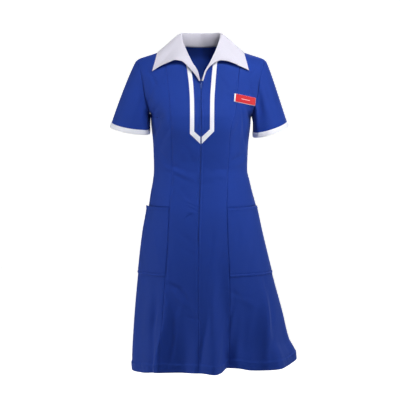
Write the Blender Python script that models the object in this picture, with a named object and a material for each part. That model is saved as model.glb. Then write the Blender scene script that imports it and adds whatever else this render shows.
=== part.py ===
"""A waitress dress, worn and empty: blue princess-cut panels with a zip down the front, short
sleeves, a white pointed collar, white tapes round the zip, patch pockets and a name badge.

Metres, +Z up. The front faces -Y, and +X is the wearer's left. The origin is where the shoulders
hold the dress: the middle of the neck base, level with the two side neck points.
"""
import math

import bmesh
import bpy
import numpy as np
from mathutils import Vector
from mathutils.bvhtree import BVHTree

# Cloth and seams
CLOTH = 0.0015
COLLAR_CLOTH = 0.0018
SEAM = 0.0003
HEM_TURN_UP = 0.027
HEM_CLOTH = 0.0027

# Neck and shoulders
NECK_HALF = 0.068
BACK_NECK_DROP = 0.006
SHOULDER_ROLL = 0.075
NECK_RISE = 0.55
NECK_STEPS = 30
NECK_STEP = 0.6

# The underarm, where each sleeve's and each side seam start
UNDERARM = -0.2105

# Zip
ZIP_END = -0.579
ZIP_HALF_GAP = 0.001
ZIP_MOUTH_HALF = 0.0033
ZIP_MOUTH_HOLD = -0.1175
ZIP_MOUTH_END = -0.132
ZIP_TAPE_WIDTH = 0.012
ZIP_TAPE_CLOTH = 0.001
ZIP_TAPE_GAP = 0.0006
ZIP_TAPE_TOP = -0.1130
ZIP_TAPE_END = -0.585

# Pockets
POCKET_TOP = -0.478
POCKET_BOTTOM = -0.680
POCKET_BAND = 0.010
POCKET_BAND_CLOTH = 0.0024
POCKET_GAPE = 0.0024
POCKET_GAPE_DEPTH = 0.070
POCKET_CORNER_OUT = 0.0045
POCKET_CORNER_REACH = (0.050, 0.095)
POCKET_INSET = 0.0015

# Tapes sewn round the zip, and the bands round the sleeve ends
TAPE_WIDTH = 0.0125
TAPE_CLOTH = 0.001
TAPE_LIFT = 0.0005
TAPE_POINT_HALF = 0.0022
TAPE_POINT_INNER = -0.2668
TAPE_POINT_OUTER = -0.2870
TAPE_ROWS = 32
TAPE_POINT_ROWS = 6
TAPE_COLUMNS = 4
BAND_WIDTH = 0.014

# Badge
BADGE_SIZE = (0.073, 0.0245)
BADGE_CENTRE = (0.1288, -0.159)
BADGE_TURN = math.radians(11.6)
BADGE_PLATE = 0.0016
BADGE_FACE = 0.0006
BADGE_MARGIN = 0.001
BADGE_END_MARGIN = 0.004
BADGE_LIFT = 0.0002
BADGE_REACH = (0.038, 0.030)
BADGE_HOLD = 0.8

# Sections of the body, from the neck down
SECTION_COLUMNS = ("height", "left_half", "right_half", "front_depth", "back_depth", "middle", "squareness")
SECTIONS = (
    (0.040, 0.205, 0.205, 0.062, 0.066, 0.012, 2.3),
    (0.000, 0.206, 0.206, 0.070, 0.074, 0.011, 2.4),
    (-0.045, 0.206, 0.206, 0.080, 0.092, 0.010, 2.5),
    (-0.110, 0.194, 0.194, 0.094, 0.102, 0.006, 2.7),
    (-0.165, 0.172, 0.172, 0.113, 0.105, 0.003, 2.7),
    (-0.190, 0.160, 0.160, 0.121, 0.104, 0.001, 2.6),
    (-0.210, 0.1500, 0.1505, 0.126, 0.103, 0.000, 2.5),
    (-0.235, 0.1480, 0.1490, 0.127, 0.101, 0.000, 2.4),
    (-0.300, 0.1410, 0.1430, 0.116, 0.092, 0.000, 2.3),
    (-0.370, 0.1385, 0.1410, 0.102, 0.084, 0.000, 2.25),
    (-0.405, 0.1460, 0.1445, 0.103, 0.088, 0.000, 2.2),
    (-0.440, 0.1545, 0.1510, 0.108, 0.099, 0.000, 2.2),
    (-0.486, 0.1675, 0.1580, 0.118, 0.113, 0.000, 2.2),
    (-0.560, 0.1840, 0.1750, 0.128, 0.129, 0.000, 2.15),
    (-0.690, 0.2160, 0.1900, 0.146, 0.148, 0.000, 2.1),
    (-0.800, 0.2460, 0.2000, 0.168, 0.170, 0.000, 2.05),
    (-0.880, 0.2660, 0.2055, 0.184, 0.185, 0.000, 2.0),
    (-0.915, 0.2840, 0.2075, 0.190, 0.190, 0.000, 2.0),
    (-0.975, 0.2950, 0.2090, 0.197, 0.196, 0.000, 2.0),
)

# The shoulder line, seen from the front
SHOULDER_COLUMNS = ("across", "height")
SHOULDER_LINE = (
    (0.068, 0.0),
    (0.122, -0.0185),
    (0.158, -0.0305),
    (0.177, -0.0362),
    (0.188, -0.0412),
    (0.196, -0.0475),
    (0.210, -0.0620),
)

# The front neckline, seen from the front
NECKLINE_COLUMNS = ("across", "height")
NECKLINE = (
    (0.0, -0.1120),
    (0.0040, -0.1040),
    (0.0068, -0.0955),
    (0.0096, -0.0868),
    (0.0124, -0.0785),
    (0.0190, -0.0665),
    (0.0300, -0.0500),
    (0.0400, -0.0355),
    (0.0520, -0.0185),
    (0.0610, -0.0080),
    (0.0680, 0.0),
)

# Where the armhole's edge runs, seen from the front
ARMHOLE_COLUMNS = ("height", "across")
ARMHOLE = (
    (-0.030, 0.198),
    (-0.045, 0.192),
    (-0.058, 0.184),
    (-0.080, 0.179),
    (-0.110, 0.173),
    (-0.138, 0.169),
    (-0.165, 0.1635),
    (-0.180, 0.1590),
    (-0.190, 0.1565),
    (-0.202, 0.1528),
    (-0.2105, 0.1500),
)

# Seams of the front, and of the back on both sides of its middle
FRONT_SEAM_COLUMNS = ("height", "right", "centre", "left")
FRONT_SEAMS = (
    (0.000, -0.112, 0.000, 0.120),
    (-0.100, -0.100, 0.000, 0.110),
    (-0.190, -0.091, 0.000, 0.101),
    (-0.250, -0.088, 0.000, 0.086),
    (-0.345, -0.085, -0.001, 0.081),
    (-0.410, -0.086, -0.003, 0.078),
    (-0.475, -0.093, -0.005, 0.076),
    (-0.580, -0.098, -0.008, 0.079),
    (-0.690, -0.1055, -0.0075, 0.084),
    (-0.960, -0.1190, -0.0060, 0.090),
)
BACK_SEAM_COLUMNS = ("height", "across")
BACK_SEAMS = (
    (0.000, 0.112),
    (-0.100, 0.100),
    (-0.370, 0.075),
    (-0.520, 0.085),
    (-0.960, 0.116),
)

# The hem's height round the dress
HEM_COLUMNS = ("angle", "height")
HEM = (
    (-90.0, -0.974),
    (-60.0, -0.969),
    (-40.0, -0.961),
    (-20.0, -0.957),
    (0.0, -0.956),
    (8.0, -0.960),
    (12.0, -0.956),
    (17.0, -0.943),
    (24.0, -0.945),
    (31.0, -0.952),
    (45.0, -0.955),
    (65.0, -0.950),
    (90.0, -0.941),
    (135.0, -0.958),
    (180.0, -0.965),
    (225.0, -0.970),
    (270.0, -0.974),
)

# Folds of the skirt. Columns: angle, how far it stands out at the hem, spread, height it starts at
FOLDS = (
    (-62.0, -0.006, 9.0, -0.640),
    (-44.0, -0.005, 3.5, -0.680),
    (-36.0, 0.013, 5.5, -0.640),
    (-20.0, -0.014, 10.0, -0.600),
    (6.5, 0.021, 5.0, -0.610),
    (16.5, -0.026, 5.0, -0.600),
    (32.0, -0.011, 9.0, -0.640),
    (50.0, 0.018, 7.5, -0.580),
    (72.0, -0.007, 9.0, -0.680),
    (118.0, 0.014, 9.0, -0.560),
    (143.0, -0.012, 9.0, -0.600),
    (168.0, 0.016, 9.0, -0.520),
    (193.0, -0.013, 8.0, -0.600),
    (214.0, 0.015, 8.0, -0.560),
    (240.0, -0.011, 9.0, -0.620),
)
FOLD_END = -0.960
FOLD_GROWTH = 1.3
FOLD_LIMIT = 1.2

# Swells and dips of the bodice's front. Columns: across, height, how far out, spread across, spread down
SWELLS = (
    (0.082, -0.225, 0.008, 0.050, 0.060),
    (-0.082, -0.225, 0.008, 0.050, 0.060),
    (0.118, -0.262, -0.004, 0.014, 0.050),
    (-0.122, -0.268, -0.004, 0.014, 0.050),
)

# Heights of the rows that every panel has below the underarm, and how many lie above it
LOWER_ROWS = (
    -0.235, -0.262, -0.300, -0.335, -0.370, -0.405, -0.440, -0.478, -0.508, -0.545, -0.585,
    -0.620, -0.650, -0.680, -0.720, -0.760, -0.800, -0.840, -0.880, -0.905,
)
UPPER_STEPS = 11

# Columns of the side panels, and of the centre panels between the neckline's and the princess seam
FRONT_SIDE_COLUMNS = 10
BACK_SIDE_COLUMNS = 9
OUTER_COLUMNS = 3

# Where panel columns meet the neckline, as turns from the front middle to the back middle
FRONT_NECK_TURNS = (18.5, 36.0, 49.5, 62.0, 74.0, 90.0)
BACK_NECK_TURNS = (90.0, 105.0, 121.0, 150.0, 180.0)

# Sleeve ends. Columns: side, middle of the opening, way to its outer side, way to its front side
SLEEVES = (
    (1, (0.2085, -0.004, -0.2555), (0.0525, 0.0, 0.0165), (0.0, -0.060, -0.008)),
    (-1, (-0.2120, -0.004, -0.2520), (-0.0590, 0.0, 0.0100), (0.0, -0.060, -0.008)),
)
SLEEVE_STEPS = (0.0, 0.06, 0.16, 0.32, 0.54, 0.78, 1.0)
SLEEVE_LEAVE = 0.035
SLEEVE_LEAVE_SHARE = 0.4
SLEEVE_ARRIVE = (0.6, 0.4)
SLEEVE_LEAN = math.radians(100)

# Collar halves: the turn round the neckline where each line starts, the roll and the outer edge
COLLAR_COLUMNS = ("place", "seam_turn", "roll_x", "roll_y", "roll_z", "edge_x", "edge_y", "edge_z")
COLLAR_LEFT = (
    (0.000, 3.2, 0.0032, -0.0935, -0.1025, 0.0062, -0.0925, -0.1042),
    (0.100, 7.0, 0.0068, -0.0920, -0.0905, 0.0112, -0.0915, -0.0890),
    (0.180, 11.5, 0.0112, -0.0895, -0.0770, 0.0162, -0.0890, -0.0745),
    (0.260, 18.5, 0.0190, -0.0835, -0.0625, 0.0268, -0.0860, -0.0608),
    (0.340, 27.0, 0.0275, -0.0745, -0.0480, 0.0445, -0.0820, -0.0478),
    (0.410, 36.0, 0.0345, -0.0655, -0.0340, 0.0590, -0.0790, -0.0428),
    (0.470, 43.0, 0.0405, -0.0555, -0.0220, 0.0760, -0.0770, -0.0448),
    (0.530, 49.5, 0.0460, -0.0450, -0.0100, 0.0960, -0.0740, -0.0513),
    (0.585, 56.0, 0.0510, -0.0350, 0.0005, 0.1190, -0.0690, -0.0620),
    (0.640, 62.0, 0.0553, -0.0240, 0.0105, 0.1420, -0.0640, -0.0730),
    (0.700, 74.0, 0.0595, -0.0100, 0.0220, 0.1315, -0.0350, -0.0430),
    (0.760, 90.0, 0.0630, 0.0080, 0.0340, 0.1210, 0.0150, -0.0190),
    (0.805, 105.0, 0.0605, 0.0225, 0.0362, 0.1155, 0.0335, -0.0205),
    (0.850, 121.0, 0.0560, 0.0370, 0.0375, 0.1080, 0.0520, -0.0230),
    (0.925, 150.0, 0.0320, 0.0600, 0.0355, 0.0680, 0.0850, -0.0270),
    (1.000, 180.0, 0.0000, 0.0690, 0.0345, 0.0000, 0.0960, -0.0280),
)
COLLAR_RIGHT = (
    (0.000, 3.2, 0.0032, -0.0935, -0.1025, 0.0062, -0.0925, -0.1035),
    (0.100, 7.0, 0.0068, -0.0920, -0.0905, 0.0125, -0.0915, -0.0920),
    (0.180, 11.5, 0.0112, -0.0895, -0.0770, 0.0215, -0.0880, -0.0800),
    (0.260, 18.5, 0.0190, -0.0835, -0.0625, 0.0325, -0.0850, -0.0675),
    (0.340, 27.0, 0.0275, -0.0745, -0.0480, 0.0435, -0.0820, -0.0562),
    (0.410, 36.0, 0.0345, -0.0655, -0.0340, 0.0590, -0.0790, -0.0447),
    (0.470, 43.0, 0.0405, -0.0555, -0.0220, 0.0775, -0.0770, -0.0420),
    (0.530, 49.5, 0.0460, -0.0450, -0.0100, 0.0960, -0.0740, -0.0487),
    (0.585, 56.0, 0.0510, -0.0350, 0.0005, 0.1200, -0.0690, -0.0595),
    (0.640, 62.0, 0.0553, -0.0240, 0.0105, 0.1445, -0.0640, -0.0750),
    (0.700, 74.0, 0.0595, -0.0100, 0.0220, 0.1335, -0.0350, -0.0440),
    (0.760, 90.0, 0.0630, 0.0080, 0.0340, 0.1225, 0.0150, -0.0195),
    (0.805, 105.0, 0.0605, 0.0225, 0.0362, 0.1160, 0.0335, -0.0205),
    (0.850, 121.0, 0.0560, 0.0370, 0.0375, 0.1080, 0.0520, -0.0230),
    (0.925, 150.0, 0.0320, 0.0600, 0.0355, 0.0680, 0.0850, -0.0270),
    (1.000, 180.0, 0.0000, 0.0690, 0.0345, 0.0000, 0.0960, -0.0280),
)
COLLAR_TIP = 0.640
COLLAR_LINES = (0.0, 0.05, 0.1, 0.14, 0.18, 0.22, 0.26, 0.30, 0.34, 0.375, 0.41, 0.44, 0.47, 0.50, 0.53,
                0.56, 0.585, 0.612, 0.64, 0.67, 0.70, 0.73, 0.76, 0.805, 0.85, 0.8875, 0.925, 0.9625, 1.0)
STAND_STEPS = (0.0, 0.4, 0.75, 0.93)
FALL_STEPS = (0.0, 0.05, 0.14, 0.28, 0.46, 0.64, 0.82, 1.0)
COLLAR_FULLNESS = (1.1, 0.9)
COLLAR_CLEAR = 0.0028
CLEAR_ROUNDS = 6
CLEAR_LIMIT = 0.020
CLEAR_WIDTH = 0.98
NECK_MIDDLE = (0.0, 0.011)
NECK_LEAN = 0.030

# Inner edges of the tapes round the zip
TAPE_EDGE_COLUMNS = ("height", "left", "right")
TAPE_EDGES = (
    (-0.046, 0.0353, -0.0325),
    (-0.110, 0.0300, -0.0235),
    (-0.160, 0.0268, -0.0203),
    (-0.210, 0.0262, -0.0198),
    (-0.260, 0.0259, -0.0200),
)
TAPE_TOPS = {1: (-0.0540, -0.0440), -1: (-0.0615, -0.0460)}
TAPE_CORNERS = {1: (-0.2441, -0.2500), -1: (-0.2509, -0.2577)}

# The slider and its pull tab, in the slider's own frame: across, up the cloth, out of the cloth
SLIDER_HEIGHT = -0.1120
SLIDER_PLATE_HALF = (0.0028, 0.0045)
SLIDER_PLATE = 0.001
SLIDER_REAR = -0.0041
POST_HALF = 0.0008
POST_SPAN = (0.0005, 0.0035)
BRIDGE_HALF = 0.0007
BRIDGE_OUTER = 0.0022
BRIDGE_INNER = 0.0013
BRIDGE_UNDER = 0.0017
BRIDGE_TOP = 0.0026
PULL_AXIS = (-0.00055, 0.00085)
PULL_BAR = 0.00045
PULL_HALF = 0.0019
PULL_LEG = 0.0008
PULL_HOLE = 0.0036
PULL_LENGTH = 0.0150
PULL_CLOTH = 0.0009
PULL_TILT = math.radians(3.0)
PULL_OVERLAP = 0.0004
PULL_FLUSH = 0.00002
BAR_SIDES = 12

SHARP = math.radians(40)

BLUE = (0.0185, 0.0437, 0.262)
BLUE_METAL = (0.03, 0.06, 0.25)
WHITE = (0.82, 0.82, 0.88)
RED = (0.78, 0.012, 0.022)


def curve(places, values):
    """A smooth curve through the rows of a table that never swings past two neighbours."""
    order = np.argsort(places)
    x = np.asarray(places, float)[order]
    y = np.asarray(values, float)[order]
    slopes = np.diff(y) / np.diff(x)
    tangents = np.zeros_like(y)
    tangents[0] = slopes[0]
    tangents[-1] = slopes[-1]
    before, after = slopes[:-1], slopes[1:]
    same = before * after > 0
    tangents[1:-1][same] = 2 * before[same] * after[same] / (before[same] + after[same])

    def at(query):
        query = np.clip(np.asarray(query, float), x[0], x[-1])
        k = np.clip(np.searchsorted(x, query) - 1, 0, len(x) - 2)
        width = x[k + 1] - x[k]
        t = (query - x[k]) / width
        start = (1 + 2 * t) * (1 - t) ** 2 * y[k] + t * (1 - t) ** 2 * width * tangents[k]
        end = t * t * (3 - 2 * t) * y[k + 1] + t * t * (t - 1) * width * tangents[k + 1]
        return start + end

    return at


def table(columns, rows):
    """One curve for each named column, along the first column."""
    places = [row[0] for row in rows]
    return {name: curve(places, [row[i] for row in rows]) for i, name in enumerate(columns) if i}


BODY = table(SECTION_COLUMNS, SECTIONS)
SHOULDER = table(SHOULDER_COLUMNS, SHOULDER_LINE)["height"]
NECKLINE_HEIGHT = table(NECKLINE_COLUMNS, NECKLINE)["height"]
ARMHOLE_EDGE = table(ARMHOLE_COLUMNS, ARMHOLE)["across"]
FRONT_SEAM = table(FRONT_SEAM_COLUMNS, FRONT_SEAMS)
BACK_SEAM = table(BACK_SEAM_COLUMNS, BACK_SEAMS)["across"]
HEM_HEIGHT = table(HEM_COLUMNS, HEM)["height"]
TAPE_EDGE = table(TAPE_EDGE_COLUMNS, TAPE_EDGES)


def unit(vectors):
    return vectors / np.maximum(np.linalg.norm(vectors, axis=-1, keepdims=True), 1e-12)


def bell(distance, spread):
    return np.exp(-(distance / spread) ** 2)


def top_of(across):
    """The height at which the front and the back of the dress meet, over this distance across."""
    across = np.abs(across)
    return np.where(across < NECK_HALF, (NECK_HALF - across) * NECK_RISE, SHOULDER(across))


def half_width(height, side):
    return np.where(side > 0, BODY["left_half"](height), BODY["right_half"](height))


def plain_surface(angle, height):
    """The dress with no skirt folds. Angle 0 is the front and 90 degrees the wearer's left."""
    angle, height = np.broadcast_arrays(np.asarray(angle, float), np.asarray(height, float))
    sine, cosine = np.sin(angle), np.cos(angle)
    power = BODY["squareness"](height)
    reach = (np.abs(sine) ** power + np.abs(cosine) ** power) ** (-1 / power)
    across = half_width(height, sine) * sine * reach
    fall = np.clip((top_of(across) - height) / SHOULDER_ROLL, 0, 1)
    lift = np.sqrt(1 - (1 - fall) ** 2)
    depth = np.where(cosine > 0, BODY["front_depth"](height), BODY["back_depth"](height))
    along = BODY["middle"](height) - depth * cosine * reach * lift
    front = np.clip(cosine * reach, 0, 1)
    for place, level, out, wide, tall in SWELLS:
        along = along - out * bell(across - place, wide) * bell(height - level, tall) * front
    return np.stack([across, along, height], axis=-1)


def normal_of(surface, angle, height):
    """The direction that points out of the cloth."""
    turn, drop, ridge = 1e-4, 2e-4, 8e-4
    height = np.minimum(height, top_of(surface(angle, height)[..., 0]) - ridge)
    round_the_dress = surface(angle + turn, height) - surface(angle - turn, height)
    up_the_dress = surface(angle, height) - surface(angle, height - drop)
    return unit(np.cross(round_the_dress, up_the_dress))


def angle_at(across, height, back=False):
    """The angle of the point of a section that lies this far across."""
    across = np.asarray(across, float)
    power = BODY["squareness"](height)
    share = np.clip(np.abs(across) / half_width(height, across), 0, 1)
    rest = (1 - share ** power) ** (1 / power)
    turn = np.arctan2(share, rest) * np.where(across < 0, -1, 1)
    return math.pi - turn if back else turn


def badge_plane():
    """A point and the outward direction of the flat that the badge holds the cloth to."""
    across, height = BADGE_CENTRE
    angle = angle_at(across, height)
    return plain_surface(angle, height), normal_of(plain_surface, angle, height)


BADGE_POINT, BADGE_OUT = badge_plane()


def held_surface(angle, height):
    """The plain dress, with the cloth behind the badge held nearly flat."""
    points = plain_surface(angle, height)
    aside = points[..., 0] - BADGE_POINT[0]
    up = points[..., 2] - BADGE_POINT[2]
    flat = BADGE_POINT[1] - (BADGE_OUT[0] * aside + BADGE_OUT[2] * up) / BADGE_OUT[1]
    wide, tall = BADGE_REACH
    share = BADGE_HOLD * np.exp(-(aside / wide) ** 4 - (up / tall) ** 2)
    share = np.where(np.cos(angle) > 0, share, 0)
    points[..., 1] += (np.minimum(flat, points[..., 1]) - points[..., 1]) * share
    return points


def fold_out(angle, height):
    """How far the skirt's folds stand out of the plain dress."""
    degrees = np.degrees(angle)
    total = np.zeros(np.broadcast(angle, height).shape)
    for place, out, spread, start in FOLDS:
        away = (degrees - place + 180) % 360 - 180
        down = np.clip((height - start) / (FOLD_END - start), 0, FOLD_LIMIT) ** FOLD_GROWTH
        total = total + out * bell(away, spread) * down
    return total


def cloth(angle, height):
    """A point of the outer face of the dress."""
    angle, height = np.broadcast_arrays(np.asarray(angle, float), np.asarray(height, float))
    out = fold_out(angle, height)[..., None]
    return held_surface(angle, height) + normal_of(held_surface, angle, height) * out


def beside(angle, height, distance):
    """The angle that lies this far round the dress from another one at the same height."""
    step = 1e-3
    per_turn = np.linalg.norm(cloth(angle + step, height) - cloth(angle - step, height), axis=-1) / (2 * step)
    return angle + distance / per_turn


def front_seam(name, shift):
    """The angle of a front seam at each height, moved across by this distance."""
    def at(height):
        return angle_at(FRONT_SEAM[name](height) + shift, height)
    return at


def centre_edge(side):
    """One edge of the front opening, which stands apart for the zip and opens round its slider."""
    def at(height):
        mouth = np.clip((height - ZIP_MOUTH_END) / (ZIP_MOUTH_HOLD - ZIP_MOUTH_END), 0, 1)
        gap = ZIP_HALF_GAP + (ZIP_MOUTH_HALF - ZIP_HALF_GAP) * mouth
        gap = np.where(height > ZIP_END, gap, SEAM / 2)
        return angle_at(FRONT_SEAM["centre"](height) + side * gap, height)
    return at


def back_seam(side, shift):
    def at(height):
        return angle_at(side * BACK_SEAM(height) + shift, height, back=True)
    return at


def side_edge(side, back):
    """The side seam, and above the underarm the armhole's edge."""
    middle = 1.5 * math.pi if back and side < 0 else side * math.pi / 2
    inward = side if back else -side

    def at(height):
        armhole = angle_at(side * ARMHOLE_EDGE(height), height, back)
        seam = beside(np.full(np.shape(height), middle), height, inward * SEAM / 2)
        return np.where(height > UNDERARM, armhole, seam)
    return at


def neck_height(across, back):
    """The height of the neckline, and past it of the shoulder seam."""
    across = np.abs(across)
    if back:
        inside = -BACK_NECK_DROP * (1 - (across / NECK_HALF) ** 2)
    else:
        inside = NECKLINE_HEIGHT(across)
    return np.where(across < NECK_HALF, inside, top_of(across))


def upper_heights(top):
    """Row heights from the top edge to the underarm, closer together at both ends."""
    steps = (1 - np.cos(np.linspace(0, math.pi, UPPER_STEPS + 1))) / 2
    return top[None, :] + (UNDERARM - top[None, :]) * steps[:, None]


def neck_shares(first, last, across, back):
    """Where the columns that meet the neckline this far across lie between a panel's edges."""
    height = neck_height(across, back)
    start, end = first(height), last(height)
    return (angle_at(across, height, back) - start) / (end - start)


class Panel:
    """A panel's outer points and outward directions, in rows down it and columns round it."""

    def __init__(self, name, first, last, shares, back=False):
        self.name = name
        self.first, self.last, self.shares, self.back = first, last, np.asarray(shares), back
        top = self.top_heights()
        lower = np.repeat(np.array(LOWER_ROWS)[:, None], len(self.shares), axis=1)
        heights = np.vstack([upper_heights(top), lower])
        hem = self.hem_heights()
        self.heights = np.vstack([heights, hem + HEM_TURN_UP + CLOTH, hem + HEM_TURN_UP, hem])
        angles = self.angles(self.heights)
        self.points = cloth(angles, self.heights)
        self.normals = normal_of(cloth, angles, self.heights)
        # Front and back part by a seam's gap, and their shoulder edges face each other squarely.
        on_shoulder = np.abs(self.points[0, :, 0]) > NECK_HALF - SEAM
        self.points[..., 1] += (SEAM if back else -SEAM) / 2
        self.normals[0, on_shoulder, 1] = 0
        self.normals[0] = unit(self.normals[0])
        self.first_lower = UPPER_STEPS + 1

    def angles(self, heights):
        first, last = self.first(heights), self.last(heights)
        return first + (last - first) * self.shares

    def top_heights(self):
        """The neckline or the shoulder seam at each column, found by closing in on it."""
        top = np.zeros(len(self.shares))
        for _ in range(NECK_STEPS):
            across = plain_surface(self.angles(top), top)[..., 0]
            top = top + NECK_STEP * (neck_height(across, self.back) - top)
        return top

    def hem_heights(self):
        level = np.full(len(self.shares), FOLD_END)
        degrees = np.degrees(self.angles(level))
        return HEM_HEIGHT(np.where(degrees > 270, degrees - 360, degrees))

    def row_at(self, height):
        """The place among the rows of a height below the underarm."""
        levels = np.array(LOWER_ROWS)
        return self.first_lower + np.interp(-np.asarray(height), -levels, np.arange(len(levels)))

    def moved_out(self, rows, columns, distance):
        """Points over the panel's own facets, this far out of them."""
        rows, columns, distance = np.broadcast_arrays(rows, columns, distance)
        r = np.clip(np.floor(rows).astype(int), 0, self.points.shape[0] - 2)
        c = np.clip(np.floor(columns).astype(int), 0, self.points.shape[1] - 2)
        fr, fc = (rows - r)[..., None], (columns - c)[..., None]

        def mix(grid):
            corner, opposite = grid[r, c], grid[r + 1, c + 1]
            low = corner + fr * (grid[r + 1, c] - corner) + fc * (opposite - grid[r + 1, c])
            high = corner + fc * (grid[r, c + 1] - corner) + fr * (opposite - grid[r, c + 1])
            return np.where(fr >= fc, low, high)

        return mix(self.points) + mix(self.normals) * distance[..., None]

    def build(self):
        thick = np.full(self.heights.shape, CLOTH)
        thick[-2:] = HEM_CLOTH
        return wall(self.name, self.points, self.points - self.normals * thick[..., None])


def mesh_object(name, points, faces, origin=(0.0, 0.0, 0.0)):
    """A mesh object with its faces turned outwards and its own origin at this point."""
    mesh = bpy.data.meshes.new(name)
    mesh.from_pydata([tuple(point) for point in np.subtract(points, origin)], [], faces)
    shape = bmesh.new()
    shape.from_mesh(mesh)
    bmesh.ops.recalc_face_normals(shape, faces=shape.faces)
    if shape.calc_volume(signed=True) < 0:
        bmesh.ops.reverse_faces(shape, faces=shape.faces)
    shape.to_mesh(mesh)
    shape.free()
    mesh.shade_smooth()
    mesh.set_sharp_from_angle(angle=SHARP)
    thing = bpy.data.objects.new(name, mesh)
    thing.location = origin
    bpy.context.collection.objects.link(thing)
    return thing


def wall(name, outer, inner, closed=False):
    """A sheet of cloth between two grids of points; a closed one meets itself round its rows."""
    rows, columns = outer.shape[:2]
    points = np.concatenate([outer.reshape(-1, 3), inner.reshape(-1, 3)])
    below = rows * columns
    spans = columns if closed else columns - 1
    faces = []
    for r in range(rows - 1):
        for c in range(spans):
            d = (c + 1) % columns
            quad = (r * columns + c, (r + 1) * columns + c, (r + 1) * columns + d, r * columns + d)
            for face in (quad[:3], (quad[0], *quad[2:])):
                faces.append(face)
                faces.append(tuple(below + i for i in reversed(face)))
    for r in (0, rows - 1):
        for c in range(spans):
            a, b = r * columns + c, r * columns + (c + 1) % columns
            faces.append((a, b, below + b, below + a) if r == 0 else (b, a, below + a, below + b))
    if not closed:
        for c in (0, columns - 1):
            for r in range(rows - 1):
                a, b = r * columns + c, (r + 1) * columns + c
                faces.append((b, a, below + a, below + b) if c == 0 else (a, b, below + b, below + a))
    return mesh_object(name, points, faces)


def finish(thing, colour, roughness, metallic=0.0):
    """Give a piece a material of its own."""
    material = bpy.data.materials.new(thing.name + "_finish")
    material.use_nodes = True
    shader = material.node_tree.nodes["Principled BSDF"]
    shader.inputs["Base Color"].default_value = (*colour, 1.0)
    shader.inputs["Roughness"].default_value = roughness
    shader.inputs["Metallic"].default_value = metallic
    thing.data.materials.append(material)
    return thing


def make_panels():
    """The seven panels of the body, from the front middle round to the back."""
    half = SEAM / 2
    panels = {}
    for word, sign in (("left", 1), ("right", -1)):
        centre, princess = centre_edge(sign), front_seam(word, -sign * half)
        across = sign * NECK_HALF * np.sin(np.radians(FRONT_NECK_TURNS))
        neck = neck_shares(centre, princess, across, False)
        shares = np.concatenate([[0], neck, np.linspace(neck[-1], 1, OUTER_COLUMNS + 1)[1:]])
        panels["front_centre_" + word] = Panel("front_centre_" + word, centre, princess, shares)
        panels["front_side_" + word] = Panel(
            "front_side_" + word, front_seam(word, sign * half), side_edge(sign, False),
            np.linspace(0, 1, FRONT_SIDE_COLUMNS))
        panels["back_side_" + word] = Panel(
            "back_side_" + word, side_edge(sign, True), back_seam(sign, sign * half),
            np.linspace(0, 1, BACK_SIDE_COLUMNS), back=True)
    first, last = back_seam(1, -half), back_seam(-1, half)
    across = NECK_HALF * np.sin(np.radians(BACK_NECK_TURNS))
    neck = neck_shares(first, last, np.concatenate([across, -across[-2::-1]]), True)
    shares = np.concatenate([np.linspace(0, neck[0], OUTER_COLUMNS + 1)[:-1], neck,
                             np.linspace(neck[-1], 1, OUTER_COLUMNS + 1)[1:]])
    panels["back_centre"] = Panel("back_centre", first, last, shares, back=True)
    return panels


def neck_edge(panels, word):
    """The neckline's outer corners on one side, from the front middle, with their turns."""
    front = panels["front_centre_" + word]
    count = len(FRONT_NECK_TURNS)
    back = panels["back_centre"]
    start = OUTER_COLUMNS if word == "left" else OUTER_COLUMNS + 2 * (len(BACK_NECK_TURNS) - 1)
    step = 1 if word == "left" else -1
    picks = start + step * np.arange(len(BACK_NECK_TURNS))
    first = math.degrees(math.asin(abs(front.points[0, 0, 0]) / NECK_HALF))
    turns = np.concatenate([[first], FRONT_NECK_TURNS, BACK_NECK_TURNS[1:]])
    points = np.concatenate([front.points[0, :count + 1], back.points[0, picks[1:]]])
    normals = np.concatenate([front.normals[0, :count + 1], back.normals[0, picks[1:]]])
    points[count, 1] += SEAM / 2
    return turns, points, normals


def armhole_ring(front, back):
    """The armhole's edge from the shoulder down the front and up the back, with its directions."""
    edge = slice(0, UPPER_STEPS + 1)
    front_points, front_normals = front.points[edge, -1], front.normals[edge, -1]
    back_points, back_normals = back.points[edge, 0], back.normals[edge, 0]
    points = np.concatenate([front_points[:-1], back_points[:0:-1]])
    normals = np.concatenate([front_normals[:-1], back_normals[:0:-1]])
    points[0] = (front_points[0] + back_points[0]) / 2
    normals[0] = unit(front_normals[0] + back_normals[0])
    bottom = len(front_points) - 1
    points[bottom] = (front_points[-1] + back_points[-1]) / 2
    normals[bottom] = unit(front_normals[-1] + back_normals[-1])
    return points, normals


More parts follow.
